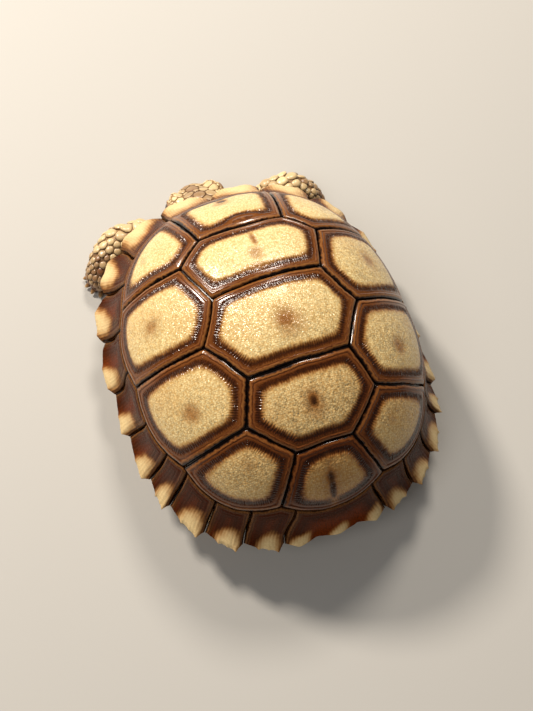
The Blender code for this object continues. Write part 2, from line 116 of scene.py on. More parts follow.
def triangles_of_tube(rows: int, columns: int) -> Array:
    """The triangles of a tube of rings whose ends are each closed by a fan.

    Args:
        rows: Number of rings.
        columns: Number of points in each ring.

    Returns:
        Point numbers, three to a triangle. After the rings come the first fan's middle and the last one's.
    """
    around, last = np.arange(columns), rows * columns
    after = np.roll(around, -1)
    return np.vstack([
        triangles_of_grid(rows, columns, around=True),
        np.stack([np.full(columns, last), after, around], axis=-1),
        np.stack([np.full(columns, last + 1), last - columns + around, last - columns + after], axis=-1),
    ])


def unit(vectors: Array) -> Array:
    """The vectors at a length of 1."""
    return vectors / np.maximum(np.linalg.norm(vectors, axis=-1, keepdims=True), 1e-9)


def eased_ring(ring: Array, axis: int = 0) -> Array:
    """A closed row of numbers or points, each drawn halfway to the mean of its neighbours."""
    return (np.roll(ring, 1, axis=axis) + 2 * ring + np.roll(ring, -1, axis=axis)) / 4


def store(items: object, key: str, numbers: Array) -> None:
    """Writes one property of every item of a mesh."""
    items.foreach_set(key, np.ascontiguousarray(numbers, np.float32).ravel())


def fetch(items: object, key: str, width: int) -> Array:
    """Reads one property of every item of a mesh.

    Args:
        items: The mesh's points, corners or values.
        key: The property.
        width: How many numbers it has.

    Returns:
        A row for each item.
    """
    numbers = np.empty(len(items) * width, np.float32)
    items.foreach_get(key, numbers)
    return numbers.reshape(-1, width).astype(float)


def new_object(name: str, data: object) -> Object:
    """A new object in the scene.

    Args:
        name: Its name.
        data: Its mesh, light or camera.

    Returns:
        The object.
    """
    made = bpy.data.objects.new(name, data)
    bpy.context.scene.collection.objects.link(made)
    return made


def hand_over(piece: Object, slot: str, *nodes: str) -> None:
    """Fixes a piece to the root, hides the nodes that it stands for, and reports it.

    Args:
        piece: The piece.
        slot: Not used.
        nodes: The nodes that it replaces, if any.
    """
    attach(piece, "root")
    if nodes:
        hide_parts(*nodes)
    LOG.info("%s: %d triangles", piece.name, len(piece.data.polygons))


def make_piece(name: str, points: Array, triangles: Array, finish: Material, **values: Array) -> Object:
    """Makes a smooth-shaded mesh object in metres from points in millimetres, facing outwards.

    Args:
        name: The piece's name.
        points: Its points, in millimetres.
        triangles: Its triangles.
        finish: Its material.
        values: Attributes, one number for each point.

    Returns:
        The object.
    """
    mesh = bpy.data.meshes.new(name)
    mesh.vertices.add(len(points))
    store(mesh.vertices, "co", points * MM)
    mesh.loops.add(triangles.size)
    mesh.loops.foreach_set("vertex_index", np.ascontiguousarray(triangles, np.int32).ravel())
    mesh.polygons.add(len(triangles))
    mesh.polygons.foreach_set("loop_start", np.arange(0, triangles.size, 3, dtype=np.int32))
    mesh.update(calc_edges=True)
    for label, numbers in values.items():
        store(mesh.attributes.new(label, "FLOAT", "POINT").data, "value", numbers)
    bm = bmesh.new()
    bm.from_mesh(mesh)
    bmesh.ops.remove_doubles(bm, verts=bm.verts, dist=1e-7)
    bmesh.ops.recalc_face_normals(bm, faces=bm.faces)
    bm.to_mesh(mesh)
    bm.free()
    mesh.shade_smooth()
    mesh.materials.append(finish)
    return new_object(name, mesh)


def filled(border: Array, inner: Array) -> tuple[Array, Array]:
    """Triangles inside a closed flat outline.

    Args:
        border: The outline's places, counter-clockwise.
        inner: Places to use inside it; those outside it are left out.

    Returns:
        Which inner places are used, and triangles that count the border first and then the used places.
    """
    count = len(border)
    flat = [Vector(place) for place in np.vstack([border, inner]).tolist()]
    _, _, found, origins, _, _ = delaunay_2d_cdt(flat, [], [list(range(count))], 1, 1e-7)
    triangles = np.array([origin[0] for origin in origins])[np.array(found)]
    used = np.unique(triangles)
    used = used[used >= count]
    renumber = np.full(len(flat), -1)
    renumber[:count] = np.arange(count)
    renumber[used] = count + np.arange(len(used))
    return used - count, renumber[triangles]


def closed_plate(total: int, count: int, triangles: Array) -> Array:
    """A plate's triangles: its face's, the wall from its outline to a ring below, and the ring's fan.

    Args:
        total: How many points the face has; the ring's points and its middle follow them.
        count: How many of its first points are its outline.
        triangles: The face's triangles.

    Returns:
        All the triangles.
    """
    first = np.arange(count)
    after = np.roll(first, -1)
    return np.vstack([
        triangles, np.stack([first, total + first, total + after], axis=-1),
        np.stack([first, total + after, after], axis=-1),
        np.stack([total + first, np.full(count, total + count), total + after], axis=-1),
    ])


def smooth_step(low: float, high: float, value: Array) -> Array:
    """0 below low, 1 above high, and an even curve between them."""
    share = np.clip((value - low) / (high - low), 0.0, 1.0)
    return share * share * (3 - 2 * share)


def bump_at(value: Array, middle: float, width: float) -> Array:
    """A bell curve of height 1 about the middle."""
    return np.exp(-(((value - middle) / width) ** 2))


def nearest_on_line(points: Array, line: Array, closed: bool) -> tuple[Array, Array]:
    """How far each point is from a line, and how far along it the nearest place is.

    Args:
        points: Points in space.
        line: The line's own points, in order.
        closed: Whether the line's end joins its start.

    Returns:
        The distances and the lengths along the line.
    """
    ring = np.vstack([line, line[:1]]) if closed else line
    pieces = np.diff(ring, axis=0)
    lengths = np.linalg.norm(pieces, axis=1)
    starts = np.concatenate([[0.0], np.cumsum(lengths)])
    nearest = np.concatenate([
        np.argmin(((block[:, None, :] - line[None]) ** 2).sum(-1), axis=1)
        for block in np.array_split(points, 24)
    ])
    best = np.full(len(points), np.inf)
    along = np.zeros(len(points))
    for offset in (-1, 0):
        number = (nearest + offset) % len(line) if closed else np.clip(nearest + offset, 0, len(pieces) - 1)
        start, step = ring[number], pieces[number]
        share = ((points - start) * step).sum(1) / np.maximum(lengths[number] ** 2, 1e-12)
        share = np.clip(share, 0.0, 1.0)
        gap = np.linalg.norm(points - start - step * share[:, None], axis=1)
        closer = gap < best
        best = np.where(closer, gap, best)
        along = np.where(closer, starts[number] + share * lengths[number], along)
    return best, along


def grain_field(points: Array, spacing: float, seed: int) -> Array:
    """A field of rounded grains: 1 on top of each grain and 0 between them.

    Args:
        points: Points in space, in millimetres.
        spacing: The grains' spacing in millimetres.
        seed: Seed for the grains' places.

    Returns:
        One number for each point.
    """
    cell = np.floor(points / spacing).astype(np.int64)
    nearest = np.full(len(points), np.inf)
    for dx in (-1, 0, 1):
        for dy in (-1, 0, 1):
            for dz in (-1, 0, 1):
                near = cell + (dx, dy, dz)
                mixed = near[:, 0] * 73856093 ^ near[:, 1] * 19349663 ^ near[:, 2] * 83492791 ^ seed
                parts = [((mixed * prime) >> 7 & 1023) / 1023.0 for prime in (2654435761, 40503, 69069)]
                place = (near + 0.15 + 0.7 * np.stack(parts, axis=-1)) * spacing
                nearest = np.minimum(nearest, ((points - place) ** 2).sum(1))
    return np.clip(1.0 - np.sqrt(nearest) / (0.62 * spacing), 0.0, 1.0) ** 0.7


# ---------------------------------------------------------------- materials

# A pattern's scale is one over the size of its marks, which is given in millimetres. Colours are mixed,
# and shares rise smoothly from one value to another.
USUAL_SETTINGS = {"Mix": {"data_type": "RGBA"}, "MapRange": {"interpolation_type": "SMOOTHSTEP"}}


def linear(colour: str) -> tuple[float, float, float, float]:
    """A colour written as sRGB hex, as the linear values that Blender takes.

    Args:
        colour: The hex colour.

    Returns:
        Red, green, blue and a full alpha.
    """
    values = [int(colour[i : i + 2], 16) / 255 for i in (1, 3, 5)]
    red, green, blue = (v / 12.92 if v <= 0.04045 else ((v + 0.055) / 1.055) ** 2.4 for v in values)
    return (red, green, blue, 1.0)


def set_inputs(tree: NodeTree, node: Node, links: dict[str, Look] | tuple[Look, ...]) -> None:
    """Links a node's inputs or sets their values.

    Args:
        tree: The tree that the node is in.
        node: The node.
        links: What each input takes, by its name or, in a tuple, for the inputs in use in their order. A node
            stands for its first output in use.
    """
    if isinstance(links, dict):
        pairs = [(node.inputs[label], look) for label, look in links.items()]
    else:
        pairs = zip([socket for socket in node.inputs if socket.enabled], links)
    for socket, look in pairs:
        if isinstance(look, Node):
            look = next(output for output in look.outputs if output.enabled)
        if isinstance(look, NodeSocket):
            tree.links.new(look, socket)
        else:
            socket.default_value = linear(look) if str(look).startswith("#") else look


def add_node(
    tree: NodeTree, kind: str, links: dict[str, Look] | tuple[Look, ...] = (), operation: str = "",
    stops: tuple[tuple[float, str], ...] = (), **settings: object,
) -> Node:
    """Adds a node with its settings, its inputs and, on a ramp, its stops.

    Args:
        tree: The tree that it goes into.
        kind: The node's type, without "ShaderNode" where that is how it begins.
        links: What its inputs take, as set_inputs reads it.
        operation: What a node of sums does.
        stops: Places and colours along a ramp.
        settings: The node's other properties.

    Returns:
        The node.
    """
    node = tree.nodes.new(kind if "Node" in kind else "ShaderNode" + kind)
    if operation:
        node.operation = operation
    for label, value in (USUAL_SETTINGS.get(kind, {}) | settings).items():
        setattr(node, label, value)
    set_inputs(tree, node, links)
    for number, (place, colour) in enumerate(stops):
        elements = node.color_ramp.elements
        stop = elements[number] if number < 2 else elements.new(place)
        stop.position, stop.color = place, linear(colour)
    return node


def new_material(name: str, roughness: float, coat: float = 0.0) -> tuple[Material, partial]:
    """Starts a material of horn.

    Args:
        name: Its name.
        roughness: How matt it is.
        coat: The weight of the clear film over it.

    Returns:
        The material, and add_node for its tree.
    """
    material = bpy.data.materials.new(name)
    material.use_nodes = True
    finished(material, {"Roughness": roughness, "IOR": 1.54, "Coat Weight": coat, "Coat Roughness": 0.12})
    return material, partial(add_node, material.node_tree)


def finished(material: Material, links: dict[str, Look]) -> Material:
    """The material, with inputs of its Principled shader linked or set."""
    set_inputs(material.node_tree, material.node_tree.nodes["Principled BSDF"], links)
    return material


@dataclass(frozen=True)
class DomeKeratin:
    """Keratin of a young dome scute, grown in rings and polished by wear: a pale grainy areola in its middle,
    then a comb of fine dark striations, and round it this year's caramel growth, smooth and glossy."""

    areola: str = "#EAD69D"
    # The beads' tops are painted lighter and the gaps between them darker: painted highlight and painted
    # shade over the areola's own grain
    bead_top: str = "#FAEEC0"
    bead_foot: str = "#CAA765"
    # Brown that darkens the rear scutes: partly their own tone and partly painted shade
    tan: str = "#B58A4C"
    freckle: str = "#966634"
    spot: str = "#3B1E09"
    grain_mm: float = 0.3
    comb_mm: float = 0.4
    ring_mm: float = 4.0

    def make(self) -> Material:
        """Makes the material. It reads the attributes edge and along in millimetres, and as shares spot and
        the darkening of rear scutes, which is partly painted shade.

        Returns:
            The material.
        """
        material, node = new_material("scute_keratin", 0.2, 0.12)
        place = node("TexCoord").outputs["Object"]
        edge, along, spot, tan = (
            node("Attribute", attribute_name=label).outputs["Fac"]
            for label in ("edge", "along", "spot", "tan")
        )
        cloud = node("TexNoise", {"Vector": place, "Scale": 1 / (2.381 * MM), "Detail": 4.0})
        drift = node("TexNoise", {"Vector": place, "Scale": 1 / (11.11 * MM), "Detail": 2.0})
        fleck = node("TexNoise", {"Vector": place, "Scale": 1 / (0.6667 * MM), "Detail": 2.0})
        grain = node("TexVoronoi", {"Vector": place, "Scale": 1 / (self.grain_mm * MM), "Randomness": 0.85})
        turn = node(
            "Math", (cloud, 8.0, node("Math", (along, math.tau / self.comb_mm), "MULTIPLY")), "MULTIPLY_ADD"
        )
        comb = node("Math", (node("Math", (turn,), "SINE"), 0.5, 0.5), "MULTIPLY_ADD")
        in_ring = node(
            "Math", (node("MapRange", (edge, 1.0, 1.35)), node("MapRange", (edge, 2.9, 2.0))), "MULTIPLY"
        )
        ragged = node("Math", (node("Math", (comb, in_ring), "MULTIPLY"), 0.12, edge), "MULTIPLY_ADD")
        ragged = node("Math", (ragged, node("Math", (fleck, 0.7, -0.35), "MULTIPLY_ADD")), "ADD")
        ragged = node("Math", (node("Math", (drift, 0.5), "SUBTRACT"), 0.8, ragged), "MULTIPLY_ADD")
        ramp = node(
            "ValToRGB", {"Fac": node("Math", (ragged, self.ring_mm), "DIVIDE", use_clamp=True)},
            stops=(
                (0.0, "#0E0704"), (1.0, self.areola), (0.03, "#2C180C"), (0.065, "#744822"),
                (0.105, "#916030"), (0.15, "#74431E"), (0.18, "#522B10"), (0.21, "#7A4820"),
                (0.275, "#653813"), (0.33, "#482207"), (0.42, "#391C08"), (0.48, "#5A3311"),
                (0.56, "#96652F"), (0.66, "#CDA25C"), (0.76, self.areola),
            ),
        )
        areola = node("MapRange", (ragged, 2.0, 3.0))
        # Painted highlight on each bead's top and painted shade between the beads, mixed into the areola's
        # own colour
        grainy = node(
            "ValToRGB", {"Fac": grain},
            stops=((0.0, self.bead_top), (1.0, self.bead_foot), (0.3, self.areola), (0.62, "#DABB80")),
        )
        colour = node("Mix", (areola, ramp, grainy))
        # Rear scutes darker: partly their own tone and partly painted shade
        colour = node("Mix", (tan, colour, self.tan), blend_type="MULTIPLY")
        fade = node("Math", (cloud, 1.0, 0.55), "MULTIPLY_ADD")
        colour = node("Mix", (node("Math", (spot, fade), "MULTIPLY", use_clamp=True), colour, self.freckle))
        colour = node(
            "Mix", (node("MapRange", (node("Math", (spot, fade), "MULTIPLY"), 0.9, 1.5)), colour, self.spot)
        )
        warm = node("MapRange", (drift, 0.35, 0.7))
        colour = node(
            "Mix", (node("Math", (warm, 0.22), "MULTIPLY"), colour, "#DDB67C"), blend_type="MULTIPLY"
        )
        lines = node("Math", (node("Math", (edge, math.tau / 0.3), "MULTIPLY"),), "SINE")
        lip = node("MapRange", (edge, 1.3, 0.9))
        bead = node("Math", (1.0, node("Math", (grain, 1.6), "POWER")), "SUBTRACT")
        height = node("Math", (bead, node("Math", (areola, 0.8, 0.05), "MULTIPLY_ADD")), "MULTIPLY")
        height = node("Math", (node("Math", (comb, in_ring), "MULTIPLY"), 0.7, height), "MULTIPLY_ADD")
        height = node("Math", (node("Math", (lines, lip), "MULTIPLY"), 0.1, height), "MULTIPLY_ADD")
        height = node("Math", (cloud, 0.12, height), "MULTIPLY_ADD")
        # Each bead faces its own way by some degrees, which makes a few of them glint
        lean = node("VectorMath", (grain.outputs["Color"], (0.5, 0.5, 0.5)), "SUBTRACT")
        share = node(
            "Math",
            (node("Math", (areola, node("Math", (in_ring, 0.6), "MULTIPLY")), "ADD", use_clamp=True), 0.38),
            "MULTIPLY",
        )
        lean = node("VectorMath", (lean, share), "SCALE")
        facing = node("NewGeometry").outputs["Normal"]
        facing = node("VectorMath", (facing, lean), "ADD")
        facing = node("VectorMath", (facing,), "NORMALIZE")
        bump = node("Bump", {"Height": height, "Strength": 0.8, "Distance": 0.08 * MM, "Normal": facing})
        return finished(
            material,
            {
                "Base Color": colour, "Roughness": node("Math", (cloud, 0.16, 0.12), "MULTIPLY_ADD"),
                "Specular IOR Level": 0.36, "Normal": bump,
            },
        )


@dataclass(frozen=True)
class RimKeratin:
    """Keratin of a marginal scute: dark growth rings over most of it, a thin caramel edge along its seams and
    a pale worn tip, all smooth and a little glossy."""

    tip: str = "#E8CE98"
    tip_root: str = "#A8733C"
    body: str = "#7A3309"
    dark: str = "#521F03"
    lip: str = "#8C5E33"

    def make(self) -> Material:
        """Makes the material. It reads the attributes edge and across in millimetres, and pale as a share.

        Returns:
            The material.
        """
        material, node = new_material("marginal_keratin", 0.3)
        place = node("TexCoord").outputs["Object"]
        edge, across, pale = (
            node("Attribute", attribute_name=label).outputs["Fac"] for label in ("edge", "across", "pale")
        )
        cloud = node("TexNoise", {"Vector": place, "Scale": 1 / (1.613 * MM), "Detail": 4.0})
        drift = node("TexNoise", {"Vector": place, "Scale": 1 / (6.25 * MM), "Detail": 2.0})
        grain = node("TexVoronoi", {"Vector": place, "Scale": 1 / (0.3 * MM)})
        turn = node("Math", (drift, 16.0, node("Math", (across, math.tau / 0.5), "MULTIPLY")), "MULTIPLY_ADD")
        streak = node("Math", (node("Math", (turn,), "SINE"), 0.5, 0.5), "MULTIPLY_ADD")
        seen = node("Math", (edge, node("Math", (cloud, 0.4, -0.2), "MULTIPLY_ADD")), "ADD")
        ramp = node(
            "ValToRGB", {"Fac": node("Math", (seen, 4.0), "DIVIDE", use_clamp=True)},
            stops=(
                (0.0, "#140905"), (1.0, self.body), (0.03, "#2E170B"), (0.065, self.lip), (0.11, "#7A4D2A"),
                (0.15, "#4A2812"), (0.19, "#6B4020"), (0.26, self.dark), (0.5, "#48220D"),
            ),
        )
        depth = node(
            "Math", (node("Math", (grain, node("Math", (streak, 0.25), "MULTIPLY")), "ADD"), 0.6),
            "MULTIPLY", use_clamp=True,
        )
        shade = node("Mix", (depth, ramp, "#2E1204"))
        edges = node("Math", (pale, node("Math", (cloud, 0.4, -0.2), "MULTIPLY_ADD")), "ADD")
        edges = node("Math", (node("Math", (streak, 0.5), "SUBTRACT"), 0.07, edges), "MULTIPLY_ADD")
        tips = node("Mix", (node("MapRange", (edges, 0.25, 0.85)), self.tip_root, self.tip))
        tips = node("Mix", (node("Math", (grain, 0.35), "MULTIPLY"), tips, "#B58550"))
        colour = node("Mix", (node("MapRange", (edges, 0.12, 0.55)), shade, tips))
        height = node("Math", (streak, 0.1, node("Math", (cloud, 0.3), "MULTIPLY")), "MULTIPLY_ADD")
        height = node("Math", (node("Math", (1.0, grain), "SUBTRACT"), 0.55, height), "MULTIPLY_ADD")
        bump = node("Bump", {"Height": height, "Strength": 0.7, "Distance": 0.07 * MM})
        return finished(
            material,
            {
                "Base Color": colour, "Roughness": node("Math", (cloud, 0.14, 0.2), "MULTIPLY_ADD"),
                "Specular IOR Level": 0.05, "Normal": bump,
            },
        )


@dataclass(frozen=True)
class PlastronKeratin:
    """Keratin of the underside, pale cream and rubbed dull by the ground, with brown smudges along its growth
    rings and seams."""

    pale: str = "#E2C892"
    smudge: str = "#8A5E30"
    seam: str = "#4A2C15"

    def make(self) -> Material:
        """Makes the material. It reads the attribute edge in millimetres.

        Returns:
            The material.
        """
        material, node = new_material("plastron_keratin", 0.42)
        place = node("TexCoord").outputs["Object"]
        edge = node("Attribute", attribute_name="edge").outputs["Fac"]
        cloud = node("TexNoise", {"Vector": place, "Scale": 1 / (2.0 * MM), "Detail": 5.0})
        drift = node("TexNoise", {"Vector": place, "Scale": 1 / (7.692 * MM), "Detail": 3.0})
        wavy = node("Math", (drift, 1.6, edge), "MULTIPLY_ADD")
        rings = node(
            "Math", (node("Math", (node("Math", (wavy, math.tau / 0.75), "MULTIPLY"),), "SINE"), 0.5, 0.5),
            "MULTIPLY_ADD",
        )
        young = node("MapRange", (edge, 4.0, 0.8))
        share = node(
            "Math",
            (node("Math", (rings, young), "MULTIPLY"), node("Math", (cloud, 0.9, 0.1), "MULTIPLY_ADD")),
            "MULTIPLY",
        )
        share = node(
            "Math", (share, node("Math", (node("MapRange", (drift, 0.55, 0.75)), 0.45), "MULTIPLY")), "ADD",
            use_clamp=True,
        )
        colour = node("Mix", (share, self.pale, self.smudge))
        colour = node(
            "Mix",
            (
                node("MapRange", (node("Math", (cloud, 0.3, edge), "MULTIPLY_ADD"), 0.55, 0.12)), colour,
                self.seam,
            ),
        )
        bump = node("Bump", {"Height": cloud, "Strength": 0.6, "Distance": 0.06 * MM})
        return finished(
            material,
            {
                "Base Color": colour, "Roughness": node("Math", (cloud, 0.25, 0.3), "MULTIPLY_ADD"),
                "Normal": bump,
            },
        )


@dataclass(frozen=True)
class SeamBed:
    """Wet-looking dark horn at the foot of the grooves between scutes."""

    colour: str = "#150A06"

    def make(self) -> Material:
        """Makes the material.

        Returns:
            The material.
        """
        material, node = new_material("seam_horn", 0.25)
        place = node("TexCoord").outputs["Object"]
        cloud = node("TexNoise", {"Vector": place, "Scale": 1 / (1.111 * MM), "Detail": 3.0})
        bump = node("Bump", {"Height": cloud, "Strength": 0.6, "Distance": 0.05 * MM})
        return finished(
            material, {"Base Color": node("Mix", (cloud, self.colour, "#2A160D")), "Normal": bump}
        )


# ---------------------------------------------------------------- the shell's surfaces


@dataclass(frozen=True)
class ShellForm:
    """The surfaces that every scute lies on. All methods take and give numpy arrays, in millimetres."""

    shift: float  # how far the solids were moved towards the tail to stand over the origin
    half_width: float = 23.4
    half_front: float = 27.55
    half_rear: float = 27.4
    top: float = 31.6
    seam_height: float = 17.5
    seam_rise_front: float = 0.97
    seam_rise_rear: float = 0.82
    dome_angle: float = 1.212
    dome_spread: float = 1.145
    dome_drop: float = 1.05
    seam_roundness: float = 2.3
    rim_half_width: float = 27.4
    rim_front: float = 32.4
    rim_rear: float = 31.75
    rim_roundness: float = 2.66
    rim_height: float = 7.45
    rim_rise_front: float = 5.4
    rim_rise_rear: float = 2.8
    # Where the seams between dome scutes reach the marginals, in degrees, and how far each edge swells
    lower_edges: tuple[Triple, ...] = (
        (-71.3, -31.0, 0.03),
        (-31.0, 1.0, 0.055),
        (1.0, 36.5, 0.055),
        (36.5, 72.0, 0.085),
        (72.0, 108.0, 0.095),
    )

    @staticmethod
    def superellipse(angle: Array, width: float, front: float, rear: float, roundness: float) -> Array:
        """Distance from the middle to the outline, at an angle in radians.

        Args:
            angle: Angles in radians.
            width: Half width.
            front: Half length to the head.
            rear: Half length to the tail.
            roundness: The power of the curve.

        Returns:
            A distance for each angle.
        """
        length = np.where(np.sin(angle) < 0, front, rear)
        powers = (np.abs(np.cos(angle)) / width) ** roundness + (np.abs(np.sin(angle)) / length) ** roundness
        return powers ** (-1 / roundness)

    def dome(self, places: Array) -> Array:
        """The dome's points at an array of (a, b).

        Args:
            places: Places (a, b) on the dome.

        Returns:
            Points in space.
        """
        reach = np.hypot(places[:, 0], places[:, 1])
        angle = np.arctan2(places[:, 1], places[:, 0])
        tilt, along = reach * self.dome_angle, np.sin(angle)
        out = self.superellipse(angle, self.half_width, self.half_front, self.half_rear, self.seam_roundness)
        out *= (np.sin(tilt) / math.sin(self.dome_angle)) ** self.dome_spread
        low = math.cos(self.dome_angle) ** self.dome_drop
        base = self.seam_height + np.where(along < 0, self.seam_rise_front, self.seam_rise_rear) * along**2
        height = base + (self.top - base) * (np.cos(tilt) ** self.dome_drop - low) / (1 - low)
        return np.stack([out * np.cos(angle), out * along + self.shift, height], axis=-1)

    def slopes(self, places: Array, step: float = 1e-3) -> tuple[Array, Array]:
        """The dome's change for a unit of a and for a unit of b."""
        return tuple(
            (self.dome(places + shift) - self.dome(places - shift)) / (2 * step)
            for shift in (np.array([step, 0.0]), np.array([0.0, step]))
        )

    def dome_normal(self, places: Array) -> Array:
        """The dome's outward normals at an array of (a, b)."""
        return unit(np.cross(*self.slopes(places)))

    def lower_edge(self, degrees: Array) -> Array:
        """(a, b) of the seam above the marginals, in the directions given in degrees.

        Args:
            degrees: Directions from the animal's left.

        Returns:
            A place for each direction.
        """
        folded = np.where(degrees > 108.0, 180.0 - degrees, degrees)
        reach = np.ones_like(folded)
        for start, end, swell in self.lower_edges:
            share = (folded - start) / (end - start)
            reach += np.where((share > 0) & (share < 1), swell * np.sin(math.pi * share), 0.0)
        angle = np.radians(degrees)
        return np.stack([reach * np.cos(angle), reach * np.sin(angle)], axis=-1)

    def rim(self, degrees: Array, out: Array) -> Array:
        """The rim's points, each moved out of its line by some millimetres.

        Args:
            degrees: Directions from the animal's left.
            out: How far out each point lies.

        Returns:
            Points in space.
        """
        angle = np.radians(degrees)
        across, along = np.cos(angle), np.sin(angle)
        reach = out + self.superellipse(
            angle, self.rim_half_width, self.rim_front, self.rim_rear, self.rim_roundness
        )
        rise = np.where(along < 0, self.rim_rise_front * np.abs(along) ** 2.2, self.rim_rise_rear * along**4)
        height = self.rim_height + rise - 0.5 * out
        return np.stack([reach * across, reach * along + self.shift, height], axis=-1)

    def outline(self, corners: tuple[Corner, ...], step: float) -> Array:
        """Places (a, b) along a scute's edge. A corner given in degrees lies on the lower edge.

        Args:
            corners: The scute's corners.
            step: The places' spacing in millimetres.

        Returns:
            The places, in the corners' order.
        """
        pieces = []
        for start, end in zip(corners, corners[1:] + corners[:1]):
            ends = [
                np.array(c) if isinstance(c, tuple) else self.lower_edge(np.array([c]))[0]
                for c in (start, end)
            ]
            length = float(np.linalg.norm(np.diff(self.dome(np.array(ends)), axis=0)))
            share = np.arange(max(4, round(length / step))) / max(4, round(length / step))
            if isinstance(start, tuple) or isinstance(end, tuple):
                pieces.append(ends[0] + (ends[1] - ends[0]) * share[:, None])
            else:
                pieces.append(self.lower_edge(start + (end - start) * share))
        return np.vstack(pieces)

    def moved_in(self, edge: Array, distance: float) -> Array:
        """The places of a counter-clockwise edge, moved in along the surface by some millimetres.

        Args:
            edge: The edge's places.
            distance: How far to move them.

        Returns:
            The moved places.
        """
        surface = self.dome(edge)
        run = np.roll(surface, -2, axis=0) - np.roll(surface, 2, axis=0)
        inwards = np.cross(self.dome_normal(edge), run)
        inwards *= distance / np.linalg.norm(inwards, axis=1, keepdims=True)
        by_a, by_b = self.slopes(edge)
        aa, ab, bb = (by_a * by_a).sum(1), (by_a * by_b).sum(1), (by_b * by_b).sum(1)
        ra, rb = (by_a * inwards).sum(1), (by_b * inwards).sum(1)
        span = aa * bb - ab * ab
        return edge + np.stack([(ra * bb - rb * ab) / span, (rb * aa - ra * ab) / span], axis=-1)


# ---------------------------------------------------------------- carapace


@dataclass(frozen=True)
class ScutePlan:
    """One scute of the dome: its node's name, its corners, its swell, how much its colour is darkened, which
    is partly its own tone and partly painted shade, its brown spots and where its dark band bulges inwards.

    A spot or bulge is (a, b, half its width, half its length, strength), the two sizes in millimetres.
    """

    name: str
    corners: tuple[Corner, ...]
    swell: float
    tan: float
    spots: tuple[Mark, ...] = ()
    bulges: tuple[Mark, ...] = ()


